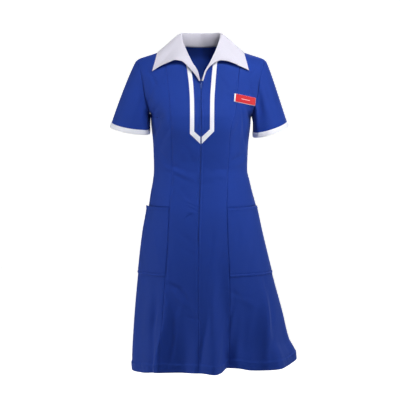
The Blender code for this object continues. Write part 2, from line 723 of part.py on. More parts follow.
class Sleeve:
    """A set-in sleeve, swept from the armhole's edge to the round of its own end."""

    def __init__(self, side, middle, outward, forward, ring, ring_normals):
        round_it = unit(np.roll(ring, -1, axis=0) - np.roll(ring, 1, axis=0))
        hole = unit(np.cross(ring_normals, round_it))
        toward = ring.mean(axis=0) - ring
        hole *= np.sign(np.sum(hole * toward, axis=1))[:, None]
        count = len(ring)
        place = np.concatenate([[0], np.cumsum(np.linalg.norm(np.diff(ring, axis=0), axis=1))])
        length = place[-1] + np.linalg.norm(ring[0] - ring[-1])
        bottom = place[count // 2]
        turn = np.where(place < bottom, place / bottom, 1 + (place - bottom) / (length - bottom)) * math.pi
        ends = np.array(middle) + np.cos(turn)[:, None] * np.array(outward)
        ends = ends + np.sin(turn)[:, None] * np.array(forward)
        reach = ends - ring
        lean = np.arctan2(np.sum(reach * ring_normals, axis=1), np.sum(reach * hole, axis=1))
        lean = np.where(np.arange(count) == 0, 0, np.clip(lean, 0, SLEEVE_LEAN))[:, None]
        leave = hole * np.cos(lean) + ring_normals * np.sin(lean)
        start = ring + SEAM * (hole * np.maximum(np.cos(lean), 0) + ring_normals * np.sin(lean))
        distance = np.linalg.norm(ends - start, axis=1, keepdims=True)
        axis = unit(np.cross(np.array(outward), np.array(forward))) * side
        axis = axis * np.sign(-axis[2])
        self.starts, self.ends = start, ends
        self.leave = leave * np.minimum(SLEEVE_LEAVE, SLEEVE_LEAVE_SHARE * distance)
        straight, down = SLEEVE_ARRIVE
        self.arrive = (unit(ends - start) * straight + axis * down) * distance
        self.first_normals = ring_normals * np.cos(lean) - hole * np.sin(lean)
        self.band_start = 1 - BAND_WIDTH / distance[:, 0]

    def at(self, share):
        """Points for each line down the sleeve, at its own share of the way to the end."""
        t = np.asarray(share)[..., None]
        start = (1 + 2 * t) * (1 - t) ** 2 * self.starts + t * (1 - t) ** 2 * self.leave
        end = t * t * (3 - 2 * t) * self.ends + t * t * (t - 1) * self.arrive
        return start + end

    def normals(self, share):
        step = 1e-3
        share = np.asarray(share)
        here = self.at(share)
        round_it = np.roll(here, -1, axis=1) - np.roll(here, 1, axis=1)
        down = self.at(share + step) - self.at(share - step)
        out = unit(np.cross(round_it, down))
        ahead = np.mean(here, axis=1, keepdims=True)
        sign = np.sign(np.sum(np.sum(out * (here - ahead), axis=2), axis=1))
        return out * sign[:, None, None]

    def build(self, name):
        steps = np.array(SLEEVE_STEPS)[:, None] * self.band_start[None, :]
        shares = np.vstack([steps, np.ones_like(self.band_start)[None, :]])
        outer, normals = self.at(shares), self.normals(shares)
        normals[0] = self.first_normals
        return wall(name, outer, outer - normals * CLOTH, closed=True)

    def build_band(self, name):
        shares = np.vstack([self.band_start, np.ones_like(self.band_start)])
        here, normals = self.at(shares), self.normals(shares)
        return wall(name, here + normals * (SEAM + TAPE_CLOTH), here + normals * SEAM, closed=True)


def clear_of_body(points, clear):
    """Move points out until they stand this far off the outer face of the dress."""
    def inside(place):
        across, along, height = place[..., 0], place[..., 1], place[..., 2]
        power = BODY["squareness"](height)
        share = np.clip(np.abs(across) / half_width(height, across), 0, CLEAR_WIDTH)
        rest = (1 - share ** power) ** (1 / power)
        fall = np.clip((top_of(across) - height) / SHOULDER_ROLL, -1, 1)
        middle = BODY["middle"](height)
        depth = np.where(along < middle, BODY["front_depth"](height), BODY["back_depth"](height))
        return ((along - middle) / (depth * rest)) ** 2 + (1 - fall) ** 2 - 1

    step = 1e-4
    moved = points.copy()
    for _ in range(CLEAR_ROUNDS):
        value = inside(moved)
        ahead = [inside(moved + step * axis) for axis in np.eye(3)]
        behind = [inside(moved - step * axis) for axis in np.eye(3)]
        slope = np.stack([a - b for a, b in zip(ahead, behind)], axis=-1) / (2 * step)
        steep = np.maximum(np.linalg.norm(slope, axis=-1), 1e-6)
        short = np.clip(clear - value / steep, 0, CLEAR_LIMIT)
        moved = moved + slope / steep[..., None] * short[..., None]
    return moved


def hermite(a, b, leave, arrive, steps):
    t = np.asarray(steps)[None, :, None]
    start = (1 + 2 * t) * (1 - t) ** 2 * a[:, None] + t * (1 - t) ** 2 * leave[:, None]
    return start + t * t * (3 - 2 * t) * b[:, None] + t * t * (t - 1) * arrive[:, None]


def collar_half(side, rows, places, neck):
    """Lines of points from the neck seam up the stand, over the roll and down to the edge."""
    turns, neck_points, neck_normals = neck
    mirror = np.array([side, 1, 1])
    columns = table(COLLAR_COLUMNS, rows)
    outline = [row for row in rows if row[0] <= COLLAR_TIP], [row for row in rows if row[0] >= COLLAR_TIP]
    to_tip, past_tip = (table(COLLAR_COLUMNS, part) for part in outline)
    roll = np.stack([columns["roll_" + axis](places) for axis in "xyz"], axis=-1)
    edge = np.stack([np.where(places <= COLLAR_TIP, to_tip["edge_" + axis](places),
                              past_tip["edge_" + axis](places)) for axis in "xyz"], axis=-1)
    turn = columns["seam_turn"](places)
    seam = np.stack([np.interp(turn, turns, neck_points[:, i]) for i in range(3)], axis=-1) * mirror
    out = unit(np.stack([np.interp(turn, turns, neck_normals[:, i]) for i in range(3)], axis=-1)) * mirror
    along = unit(np.gradient(seam, axis=0))
    rise = np.cross(along, out)
    inward = np.array([*NECK_MIDDLE, NECK_LEAN]) - seam * np.array([1, 1, 0])
    rise = unit(rise * np.sign(np.sum(rise * inward, axis=1))[:, None])
    seam = seam - out * CLOTH / 2 + rise * SEAM
    round_roll = unit(np.gradient(roll, axis=0))
    over = edge - seam
    over = unit(over - round_roll * np.sum(over * round_roll, axis=1)[:, None])
    stand = np.linalg.norm(roll - seam, axis=1, keepdims=True)
    fall = np.linalg.norm(edge - roll, axis=1, keepdims=True)
    roll_fullness, edge_fullness = COLLAR_FULLNESS
    over = over * np.minimum(stand, fall) * roll_fullness
    edge = clear_of_body(edge, COLLAR_CLEAR)
    up = hermite(seam, roll, rise * stand, over, STAND_STEPS)
    down = hermite(roll, edge, over, (edge - roll) * edge_fullness, FALL_STEPS)
    down[:, 1:] = clear_of_body(down[:, 1:], COLLAR_CLEAR)
    lines = np.concatenate([up, down], axis=1)
    return lines * mirror, out * mirror


def make_collar(panels):
    places = np.array(COLLAR_LINES)
    left, left_out = collar_half(1, COLLAR_LEFT, places, neck_edge(panels, "left"))
    right, right_out = collar_half(-1, COLLAR_RIGHT, places, neck_edge(panels, "right"))
    middle = (left[-1:] + right[-1:]) / 2
    lines = np.concatenate([right[:-1], middle, left[-2::-1]])
    across, along = np.gradient(lines, axis=1), np.gradient(lines, axis=0)
    normals = unit(np.cross(across, along))
    out = np.concatenate([right_out, left_out[-2::-1]])
    normals[:, 0] = out * np.sign(np.sum(out * normals[:, 0], axis=1))[:, None]
    half = COLLAR_CLOTH / 2
    return finish(wall("collar", lines + normals * half, lines - normals * half), WHITE, 0.8)


def make_zip_tape(panel, side):
    """Half of the zip's tape, behind the front opening's edge."""
    first = np.interp(-ZIP_TAPE_TOP, -panel.heights[:, 0], np.arange(len(panel.heights)))
    rows = np.concatenate([[first], np.arange(int(first) + 1, int(panel.row_at(ZIP_TAPE_END)) + 1)])
    edge, next_to = panel.moved_out(rows[:, None], np.array([[0, 1]]), 0.0)[..., 0].T
    centre = FRONT_SEAM["centre"](panel.heights[np.round(rows).astype(int), 0])
    across = side * np.array([SEAM, ZIP_TAPE_WIDTH])
    columns = (centre[:, None] + across[None, :] - edge[:, None]) / (next_to - edge)[:, None]
    on_edge = np.zeros((len(rows), 1))
    columns = np.concatenate([columns[:, :1], on_edge, columns[:, 1:]], axis=1)
    face = -(CLOTH + ZIP_TAPE_GAP)
    outer = panel.moved_out(rows[:, None], columns, face)
    inner = panel.moved_out(rows[:, None], columns, face - ZIP_TAPE_CLOTH)
    word = "left" if side > 0 else "right"
    return finish(wall("zip_tape_" + word, outer, inner), BLUE, 0.7)


def make_pocket(panel, side):
    """A patch pocket over the side panel, open and a little slack along its top."""
    heights = np.array([POCKET_TOP, POCKET_TOP - POCKET_BAND, POCKET_TOP - POCKET_BAND - CLOTH / 2]
                       + [level for level in LOWER_ROWS if POCKET_BOTTOM <= level < POCKET_TOP - POCKET_BAND])
    rows = panel.row_at(heights)[:, None]
    last = panel.points.shape[1] - 1
    mouth = panel.points[int(panel.row_at(POCKET_TOP))]
    steps = np.linalg.norm(np.diff(mouth, axis=0), axis=1)
    columns = np.concatenate([[POCKET_INSET / steps[0]], np.arange(1, last + 1)])[None, :]
    below_top = (POCKET_TOP - heights)[:, None] / POCKET_GAPE_DEPTH
    slack = np.sin(math.pi * columns / last) * np.clip(1 - below_top, 0, 1) ** 2
    under = SEAM + POCKET_GAPE * np.clip(slack, 0, 1)
    if side < 0:
        from_side = steps.sum() - np.concatenate([[0], np.cumsum(steps)])
        away = np.interp(columns, np.arange(last + 1), from_side) / POCKET_CORNER_REACH[0]
        down = (POCKET_TOP - heights)[:, None] / POCKET_CORNER_REACH[1]
        under = under + POCKET_CORNER_OUT * np.clip(1 - away, 0, 1) ** 2 * np.clip(1 - down, 0, 1) ** 1.5
    thick = np.where(heights >= POCKET_TOP - POCKET_BAND, POCKET_BAND_CLOTH, CLOTH)[:, None]
    outer = panel.moved_out(rows, columns, under + thick)
    inner = panel.moved_out(rows, columns, under)
    word = "left" if side > 0 else "right"
    return finish(wall("pocket_" + word, outer, inner), BLUE, 0.75)


def on_front(tree, across, height, out):
    """The point over the front panels' facets at this place seen from the front, moved out."""
    place, _, _, _ = tree.ray_cast(Vector((across, -1.0, height)), Vector((0.0, 1.0, 0.0)))
    angle = angle_at(across, height)
    return np.array(place) + normal_of(cloth, angle, height) * out


def make_placket_tape(tree, side):
    """A white tape down one side of the zip, which turns at a corner to meet the other at a point."""
    word = "left" if side > 0 else "right"
    edges = []
    for top, corner, end, width in zip(TAPE_TOPS[side], TAPE_CORNERS[side],
                                       (TAPE_POINT_INNER, TAPE_POINT_OUTER), (0, side * TAPE_WIDTH)):
        heights = np.linspace(top, corner, TAPE_ROWS)
        leg = np.stack([TAPE_EDGE[word](heights) + width, heights], axis=-1)
        point = np.array([side * TAPE_POINT_HALF, end])
        slant = np.linspace(leg[-1], point, TAPE_POINT_ROWS)[1:]
        edges.append(np.concatenate([leg, slant]))
    shares = np.linspace(0, 1, TAPE_COLUMNS)
    grid = edges[0][:, None] * (1 - shares)[None, :, None] + edges[1][:, None] * shares[None, :, None]
    faces = [np.array([[on_front(tree, x, z, out) for x, z in row] for row in grid])
             for out in (TAPE_LIFT + TAPE_CLOTH, TAPE_LIFT)]
    return finish(wall("placket_tape_" + word, *faces), WHITE, 0.8)


def front_tree(panels):
    """The front panels' outer facets, for placing what lies on them."""
    points, faces = [], []
    for panel in panels:
        rows, columns = panel.points.shape[:2]
        base = len(points)
        points += [Vector(point) for point in panel.points.reshape(-1, 3)]
        for r in range(rows - 1):
            for c in range(columns - 1):
                a = base + r * columns + c
                faces += [(a, a + columns, a + columns + 1), (a, a + columns + 1, a + 1)]
    return BVHTree.FromPolygons(points, faces)


class Frame:
    """A place with three directions: across, up and out."""

    def __init__(self, origin, across, up, out):
        self.origin = np.array(origin, float)
        self.axes = np.array([across, up, out], float)

    def point(self, across, up, out):
        return self.origin + np.array([across, up, out]) @ self.axes

    def block(self, name, across, up, out):
        """A box between two limits along each direction."""
        corners = [self.point(x, y, z) for z in out for y in up for x in across]
        faces = [(0, 2, 3, 1), (4, 5, 7, 6), (0, 1, 5, 4), (2, 6, 7, 3), (0, 4, 6, 2), (1, 3, 7, 5)]
        return mesh_object(name, corners, faces, self.origin)


def make_badge():
    """A flat white plate pinned on the cloth, and its red face."""
    level = unit(np.cross((0, 0, 1), BADGE_OUT))
    rise = np.cross(BADGE_OUT, level)
    across = level * math.cos(BADGE_TURN) - rise * math.sin(BADGE_TURN)
    up = rise * math.cos(BADGE_TURN) + level * math.sin(BADGE_TURN)
    frame = Frame(BADGE_POINT - np.array([0, BADGE_LIFT, 0]), across, up, BADGE_OUT)
    half, tall = BADGE_SIZE[0] / 2, BADGE_SIZE[1] / 2
    front = SEAM + BADGE_PLATE
    plate = frame.block("badge_plate", (-half, half), (-tall, tall), (SEAM, front))
    face_across = (-half + BADGE_END_MARGIN, half - BADGE_MARGIN)
    face_up = (-tall + BADGE_MARGIN, tall - BADGE_MARGIN / 2)
    face = frame.block("badge_face", face_across, face_up, (front + SEAM, front + SEAM + BADGE_FACE))
    finish(plate, WHITE, 0.35)
    finish(face, RED, 0.3)


def slider_frame():
    angle = angle_at(0.0, SLIDER_HEIGHT)
    out = normal_of(cloth, angle, SLIDER_HEIGHT)
    out[0] = 0.0
    out = unit(out)
    across = np.array([1.0, 0.0, 0.0])
    return Frame(cloth(angle, SLIDER_HEIGHT), across, np.cross(out, across), out)


def unite(base, others):
    """Join other pieces into one body. They stay as cutters that the modifiers read."""
    for other in others:
        join = base.modifiers.new("join", "BOOLEAN")
        join.operation = "UNION"
        join.solver = "EXACT"
        join.object = other
        other.hide_render = True
        other.display_type = "WIRE"
    return base


def make_slider(frame):
    """The zip's slider: two plates joined by a post, and the bridge that holds the pull tab."""
    half, tall = SLIDER_PLATE_HALF
    bite = 0.0002
    plate = frame.block("zip_slider", (-half, half), (-tall, tall), (-SLIDER_PLATE, 0))
    rear = frame.block("slider_rear", (-half, half), (-tall, tall), (SLIDER_REAR, SLIDER_REAR + SLIDER_PLATE))
    post = frame.block("slider_post", (-POST_HALF, POST_HALF), POST_SPAN,
                       (SLIDER_REAR + bite, -bite))
    wide = (-BRIDGE_HALF, BRIDGE_HALF)
    spans = {"upper": (BRIDGE_INNER, BRIDGE_OUTER), "lower": (-BRIDGE_OUTER, -BRIDGE_INNER)}
    feet = [frame.block("slider_foot_" + word, wide, span, (-bite, BRIDGE_TOP - bite))
            for word, span in spans.items()]
    reach = BRIDGE_OUTER + bite
    top = frame.block("slider_bridge", wide, (-reach, reach), (BRIDGE_UNDER, BRIDGE_TOP))
    return finish(unite(plate, [rear, post, *feet, top]), BLUE_METAL, 0.3, 0.9)


def make_pull(frame):
    """The pull tab, which turns on its own bar under the slider's bridge."""
    down = np.array([0, -math.cos(PULL_TILT), math.sin(PULL_TILT)]) @ frame.axes
    out = np.array([0, math.sin(PULL_TILT), math.cos(PULL_TILT)]) @ frame.axes
    pivot = frame.point(0, *PULL_AXIS)
    tab = Frame(pivot, frame.axes[0], down, out)
    half_thick = PULL_CLOTH / 2
    wide = (-PULL_HALF, PULL_HALF)
    sheet = tab.block("zip_pull", wide, (PULL_HOLE, PULL_LENGTH), (-half_thick, half_thick))
    leg_thick = half_thick - PULL_FLUSH
    legs = [tab.block("pull_leg_" + word, span, (0, PULL_HOLE + PULL_OVERLAP), (-leg_thick, leg_thick))
            for word, span in (("left", (PULL_HALF - PULL_LEG, PULL_HALF - PULL_FLUSH)),
                               ("right", (-PULL_HALF + PULL_FLUSH, -PULL_HALF + PULL_LEG)))]
    turns = [2 * math.pi * i / BAR_SIDES for i in range(BAR_SIDES)]
    ring = [(math.cos(turn), math.sin(turn)) for turn in turns]
    ends = [[tab.point(end, PULL_BAR * c, PULL_BAR * s) for c, s in ring] for end in wide]
    after = [(i + 1) % BAR_SIDES for i in range(BAR_SIDES)]
    sides = [(i, after[i], BAR_SIDES + after[i], BAR_SIDES + i) for i in range(BAR_SIDES)]
    caps = [tuple(range(BAR_SIDES)), tuple(range(BAR_SIDES, 2 * BAR_SIDES))]
    bar = mesh_object("pull_bar", ends[0] + ends[1], sides + caps, pivot)
    return finish(unite(sheet, [*legs, bar]), BLUE_METAL, 0.3, 0.9)


def main():
    for old in list(bpy.data.objects):
        bpy.data.objects.remove(old)
    panels = make_panels()
    for panel in panels.values():
        finish(panel.build(), BLUE, 0.75)
    for side, middle, outward, forward in SLEEVES:
        word = "left" if side > 0 else "right"
        ring, normals = armhole_ring(panels["front_side_" + word], panels["back_side_" + word])
        sleeve = Sleeve(side, middle, outward, forward, ring, normals)
        finish(sleeve.build("sleeve_" + word), BLUE, 0.75)
        finish(sleeve.build_band("sleeve_band_" + word), WHITE, 0.8)
        make_zip_tape(panels["front_centre_" + word], side)
        make_pocket(panels["front_side_" + word], side)
    tree = front_tree([panels["front_centre_left"], panels["front_centre_right"]])
    for side in (1, -1):
        make_placket_tape(tree, side)
    make_collar(panels)
    make_badge()
    frame = slider_frame()
    make_slider(frame)
    make_pull(frame)


main()
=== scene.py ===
"""Looks of the waitress dress: worn cloth with its seams, hems, stitches, collar, zip and badge.

Metres, +Z up. The front faces -Y and +X is the wearer's left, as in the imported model.
Tables are written in millimetres and degrees, and metres() turns their lengths into metres.
"""

import math

import bpy
import numpy as np
from mathutils import Matrix, Vector


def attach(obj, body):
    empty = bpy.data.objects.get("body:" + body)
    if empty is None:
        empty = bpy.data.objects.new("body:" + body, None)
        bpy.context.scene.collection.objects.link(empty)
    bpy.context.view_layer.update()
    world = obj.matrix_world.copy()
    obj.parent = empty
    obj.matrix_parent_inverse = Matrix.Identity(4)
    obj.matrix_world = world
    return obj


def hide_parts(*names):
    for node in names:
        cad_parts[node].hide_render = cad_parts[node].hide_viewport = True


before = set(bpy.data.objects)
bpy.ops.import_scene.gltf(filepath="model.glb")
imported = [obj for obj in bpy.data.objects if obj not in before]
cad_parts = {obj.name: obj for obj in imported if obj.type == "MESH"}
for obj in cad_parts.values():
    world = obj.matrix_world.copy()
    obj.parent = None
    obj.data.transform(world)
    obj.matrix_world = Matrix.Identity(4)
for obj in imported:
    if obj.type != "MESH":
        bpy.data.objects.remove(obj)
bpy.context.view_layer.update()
DRESS = "dress"
SIDES = {"left": 1, "right": -1}


def metres(rows, *kept):
    """Rows of millimetres as rows of metres. The columns numbered in kept aren't lengths."""
    return tuple(tuple(v if i in kept else round(v / 1000, 6) for i, v in enumerate(row)) for row in rows)


# Cloth and seams
CLOTH = 0.0015
COLLAR_CLOTH = 0.0018
SEAM = 0.0003
HEM_TURN_UP = 0.027
HEM_CLOTH = 0.0027
ALLOWANCE = 0.011
ALLOWANCE_CLOTH = 0.0009

# Neck and shoulders
NECK_HALF = 0.068
BACK_NECK_DROP = 0.006
SHOULDER_ROLL = 0.075
NECK_RISE = 0.55
UNDERARM = -0.2105

# Zip
ZIP_END = -0.579
ZIP_CLOSE = 0.006
ZIP_HALF_GAP = 0.001
ZIP_MOUTH_HALF = 0.0033
ZIP_MOUTH_HOLD = -0.1175
ZIP_MOUTH_END = -0.132
ZIP_EDGE_ROUND = 0.0011
ZIP_STITCH = 0.0062
ZIP_STITCH_TOP = -0.135
ZIP_PRESS = 0.0004
ZIP_PRESS_SPREAD = 0.0009
ZIP_PRESS_EDGE = 0.0010
ZIP_EDGE_CLOTH = 0.0018
ZIP_EDGE_INNER_ROUND = 0.0005
ZIP_TAPE_WIDTH = 0.012
ZIP_TAPE_CLOTH = 0.001
ZIP_TAPE_BEHIND = 0.0005
ZIP_TAPE_TOP = -0.1130
ZIP_TAPE_END = -0.585
TEETH_TOP = -0.1185
TOOTH_PITCH = 0.00125
TOOTH_ASIDE = 0.0005
TOOTH_BEHIND = 0.0001

# Pockets
POCKET_TOP = -0.478
POCKET_DEPTH = 0.202
POCKET_BAND = 0.0105
POCKET_BAND_CLOTH = 0.0024
POCKET_GAPE = 0.0024
POCKET_GAPE_DEPTH = 0.070
POCKET_CORNER_OUT = 0.0045
POCKET_CORNER_REACH = (0.050, 0.095)
POCKET_INSET = 0.0015
POCKET_UNDER = 0.00015
POCKET_TOP_STITCH = 0.0090
POCKET_LOW_STITCH = 0.0075

# Tapes and sleeve bands
TAPE_WIDTH = 0.0125
TAPE_CLOTH = 0.001
TAPE_LIFT = 0.0003
TAPE_POINT_HALF = 0.0022
TAPE_POINT = (-0.2668, -0.2870)
TAPE_STITCH = 0.0018
BAND_WIDTH = 0.014
BAND_STITCH = 0.0021

# Badge
BADGE_SIZE = (0.073, 0.0245)
BADGE_CENTRE = (0.1288, -0.159)
BADGE_TURN = math.radians(11.6)
BADGE_PLATE = 0.0016
BADGE_FACE = 0.0006
BADGE_MARGIN = 0.001
BADGE_END_MARGIN = 0.004
BADGE_LIFT = 0.0002
BADGE_REACH = (0.038, 0.030)
BADGE_HOLD = 0.8
RULE_ENDS = (-0.013, 0.016)
RULE_HALF = 0.0006
RULE_DEEP = 0.0003
RULE_RISE = 0.00012

# Sections from the neck down: height, left and right half width, front and back depth, middle,
# squareness
SECTIONS = metres((
    (40, 205, 205, 62, 66, 12, 2.3),
    (0, 206, 206, 70, 74, 11, 2.4),
    (-45, 206, 206, 80, 92, 10, 2.5),
    (-110, 194, 194, 94, 102, 6, 2.7),
    (-165, 172, 172, 113, 105, 3, 2.7),
    (-190, 160, 160, 121, 104, 1, 2.6),
    (-210, 150, 150.5, 126, 103, 0, 2.5),
    (-235, 148, 149, 127, 101, 0, 2.4),
    (-300, 141, 143, 116, 92, 0, 2.3),
    (-370, 138.5, 141, 102, 84, 0, 2.25),
    (-405, 146, 144.5, 103, 88, 0, 2.2),
    (-440, 154.5, 151, 108, 99, 0, 2.2),
    (-486, 167.5, 158, 118, 113, 0, 2.2),
    (-560, 184, 175, 128, 129, 0, 2.15),
    (-690, 216, 190, 146, 148, 0, 2.1),
    (-800, 246, 200, 168, 170, 0, 2.05),
    (-880, 266, 205.5, 184, 185, 0, 2),
    (-915, 284, 207.5, 190, 190, 0, 2),
    (-975, 295, 209, 197, 196, 0, 2),
), 6)

# Across and height
SHOULDER_LINE = metres((
    (68, 0), (122, -18.5), (158, -30.5), (177, -36.2),
    (188, -41.2), (196, -47.5), (210, -62),
))
NECKLINE = metres((
    (0, -112), (4, -104), (6.8, -95.5), (9.6, -86.8), (12.4, -78.5), (19, -66.5),
    (30, -50), (40, -35.5), (52, -18.5), (61, -8), (68, 0),
))

# Height and across: the armhole, and the seams of the back
ARMHOLE = metres((
    (-30, 198), (-45, 192), (-58, 184), (-80, 179), (-110, 173), (-138, 169),
    (-165, 163.5), (-180, 159), (-190, 156.5), (-202, 152.8), (-210.5, 150),
))
BACK_SEAMS = metres((
    (0, 112), (-100, 100), (-370, 75), (-520, 85), (-960, 116),
))

# Height, then how far across the right, middle and left seams of the front lie
FRONT_SEAMS = metres((
    (0, -112, 0, 120), (-100, -100, 0, 110), (-190, -91, 0, 101),
    (-250, -88, 0, 86), (-345, -85, -1, 81), (-410, -86, -3, 78),
    (-475, -93, -5, 76), (-580, -98, -8, 79), (-690, -105.5, -7.5, 84),
    (-960, -119, -6, 90),
))

# Angle and height of the hem
HEM = metres((
    (-90, -974), (-60, -969), (-40, -961), (-20, -957), (0, -956), (8, -960),
    (12, -956), (17, -943), (24, -945), (31, -952), (45, -955), (65, -950),
    (90, -941), (135, -958), (180, -965), (225, -970), (270, -974),
), 0)

# Folds of the skirt: angle, how far it stands out at the hem, spread in degrees, height it starts at
FOLDS = metres((
    (-62, -6, 9, -640), (-44, -5, 3.5, -680), (-36, 13, 5.5, -640),
    (-20, -14, 10, -600), (6.5, 21, 5, -610), (16.5, -26, 5, -600),
    (32, -11, 9, -640), (50, 18, 7.5, -580), (72, -7, 9, -680),
    (118, 14, 9, -560), (143, -12, 9, -600), (168, 16, 9, -520),
    (193, -13, 8, -600), (214, 15, 8, -560), (240, -11, 9, -620),
), 0, 2)
FOLD_END = -0.960
FOLD_GROWTH = 1.3
FOLD_LIMIT = 1.2

# Swells and dips of the bodice's front: across, height, how far out, spread across, spread down
SWELLS = metres((
    (82, -225, 8, 50, 60), (-82, -225, 8, 50, 60),
    (118, -262, -4, 14, 50), (-122, -268, -4, 14, 50),
))

# Creases as seen from the front: across, height, heading in degrees, half length, half width, out
FRONT_CREASES = metres((
    (-23, -470, -17, 18, 3, -2), (-24, -480, -19, 19, 3, -2),
    (-33, -498.5, 42, 15, 3, -2), (-30, -489, -6, 16, 4.5, 1.4),
    (-35, -460, -24, 16, 3.5, 1), (-80, -706, -14, 22, 6, -4),
    (-50, -733, -42, 32, 7, -4.6), (-28, -776, -50, 26, 8, -3.6),
    (-65, -743, -36, 36, 11, 3), (-24, -798, -12, 20, 5, -2.6),
    (-138.5, -808, 88, 52, 8.5, -5), (-155, -780, 88, 60, 12, 3),
    (-116, -870, 87, 110, 8.5, 6.2), (-96, -890, 89, 85, 9, -7.5),
    (-56, -950, 90, 130, 30, -15), (8, -870, 90, 120, 10, -7),
    (46, -890, 90, 120, 14, 6.5), (60, -870, 89, 90, 9, 2.8),
    (95, -890, 90, 100, 13, -10), (90, -790, 88, 60, 6, -3.4),
    (125, -900, 94, 130, 26, -10), (165, -830, 96, 85, 12, -3.6),
    (190, -840, -82, 100, 8.5, 8), (208, -820, -80, 80, 9, -3),
    (105, -730, -18, 34, 8, -2.2), (130, -748, -24, 40, 10, 1.8),
    (126, -240, -78, 50, 4, -2.6), (115, -255, -86, 60, 4.5, 1.8),
    (102, -250, 76, 50, 6, -1.8), (-133, -245, 80, 45, 8.5, -4.2),
    (-116, -248, 76, 50, 10, 2.2), (-100, -256, 70, 46, 7, -2),
    (-141, -195, 60, 30, 6, -3.4), (142, -202, -62, 28, 6, -3.4),
    (148, -150, -80, 30, 5, -2.4), (-150, -145, 78, 34, 6, -2.6),
    (-140, -100, -48, 34, 5.5, -2.6), (-125, -118, -46, 30, 6, 1.6),
    (145, -90, 58, 30, 6, -1.8), (70, -365, 12, 40, 7, -1.6),
    (65, -385, 8, 44, 7, 1.2), (-70, -360, -10, 45, 7, -1.8),
    (-60, -390, -16, 40, 6.5, -1.8), (-65, -375, -13, 42, 7, 1.4),
    (-30, -330, -62, 34, 8, -1.4), (-45, -440, -40, 30, 7, -1.4),
    (108, -330, 40, 35, 6, -1.8), (115, -350, 34, 32, 6, 1.3),
    (-110, -325, -38, 35, 6, -1.8), (-118, -345, -32, 32, 6, 1.3),
    (-40, -570, -30, 36, 8, -1.8), (-30, -610, -24, 34, 8, -1.4),
    (40, -630, 78, 60, 9, 1.4), (25, -650, 88, 80, 6, -2),
), 2)
BACK_CREASES = metres((
    (-20, -340, 6, 70, 9, 3.2), (10, -362, -4, 80, 8, -3.4),
    (-15, -385, 5, 65, 9, 2.6), (25, -318, -9, 60, 8, -2.2),
    (85, -350, -28, 35, 6.5, -2.4), (-85, -356, 28, 35, 6.5, -2.4),
    (105, -320, -40, 34, 6.5, 1.6), (-105, -324, 42, 34, 6.5, 1.6),
    (115, -150, 62, 45, 7, -2.6), (-115, -150, -62, 45, 7, -2.6),
    (130, -190, 74, 36, 6, -2.4), (-130, -190, -74, 36, 6, -2.4),
    (60, -70, 24, 40, 8, -1.8), (-60, -70, -24, 40, 8, -1.8),
    (100, -800, 86, 90, 11, -4), (30, -840, 91, 90, 12, 3.2),
    (-60, -820, 92, 90, 10, -3.6), (-150, -840, 94, 80, 11, 3),
    (0, -460, 90, 50, 12, -1.8),
), 2)
POCKET_CREASES = metres((
    (-148, -575, 88, 90, 6, -0.1), (-160, -575, 88, 90, 8, 1.2),
    (150, -600, -80, 70, 9, -0.1), (120, -540, -70, 50, 10, 1),
), 2)
CREASE_BEND = 0.10
CREASE_WAVE = 1.7

# Slight rumples all over: number of them, and how long, wide and high the largest are
RUMPLE_COUNT = 150
RUMPLE_LENGTH = 0.046
RUMPLE_WIDTH = 0.011
RUMPLE_OUT = 0.00080
RUMPLE_SEED = 4
RUMPLE_HEIGHTS = (-0.93, -0.06)
RUMPLE_UPRIGHT = -0.55

# Sleeve ends: middle of the opening, way to its outer side, way to its front side
SLEEVES = {
    "left": metres(((208.5, -4, -255.5), (52.5, 0, 16.5), (0, -60, -8))),
    "right": metres(((-212, -4, -252), (-59, 0, 10), (0, -60, -8))),
}
SLEEVE_START = 0.00005
SLEEVE_LEAVE = 0.035
SLEEVE_LEAVE_SHARE = 0.4
SLEEVE_ARRIVE = (0.6, 0.4)
SLEEVE_LEAN = math.radians(100)
SLEEVE_END_ROUND = 0.0007

# Soft folds of a sleeve: turn from its top, share of the way down, spreads of both, out
SLEEVE_FOLDS = metres((
    (0.38, 0.45, 0.07, 0.4, -2.2), (0.62, 0.35, 0.09, 0.3, -3.4), (0.76, 0.55, 0.07, 0.4, 2),
    (0.16, 0.3, 0.1, 0.3, 1.2), (1.25, 0.4, 0.09, 0.35, -2.8), (1.45, 0.5, 0.09, 0.4, 1.8),
    (1.66, 0.4, 0.08, 0.35, -1.8),
), 0, 1, 2, 3)

# Collar: place along it, turn round the neckline, roll x, y, z, left edge x, y, z, right edge x, y, z
COLLAR = metres((
    (0, 3.2, 3.2, -93.5, -102.5, 6.2, -92.5, -104.2, 6.2, -92.5, -103.5),
    (0.1, 7, 6.8, -92, -90.5, 11.2, -91.5, -89, 12.5, -91.5, -92),
    (0.18, 11.5, 11.2, -89.5, -77, 16.2, -89, -74.5, 21.5, -88, -80),
    (0.26, 18.5, 19, -83.5, -62.5, 26.8, -86, -60.8, 32.5, -85, -67.5),
    (0.34, 27, 27.5, -74.5, -48, 44.5, -82, -47.8, 43.5, -82, -56.2),
    (0.41, 36, 34.5, -65.5, -34, 59, -79, -42.8, 59, -79, -44.7),
    (0.47, 43, 40.5, -55.5, -22, 76, -77, -44.8, 77.5, -77, -42),
    (0.53, 49.5, 46, -45, -10, 96, -74, -51.3, 96, -74, -48.7),
    (0.585, 56, 51, -35, 0.5, 119, -69, -62, 120, -69, -59.5),
    (0.64, 62, 55.3, -24, 10.5, 142, -64, -73, 144.5, -64, -75),
    (0.7, 74, 59.5, -10, 22, 131.5, -35, -43, 133.5, -35, -44),
    (0.76, 90, 63, 8, 34, 121, 15, -19, 122.5, 15, -19.5),
    (0.805, 105, 60.5, 22.5, 36.2, 115.5, 33.5, -20.5, 116, 33.5, -20.5),
    (0.85, 121, 56, 37, 37.5, 108, 52, -23, 108, 52, -23),
    (0.925, 150, 32, 60, 35.5, 68, 85, -27, 68, 85, -27),
    (1, 180, 0, 69, 34.5, 0, 96, -28, 0, 96, -28),
), 0, 1)
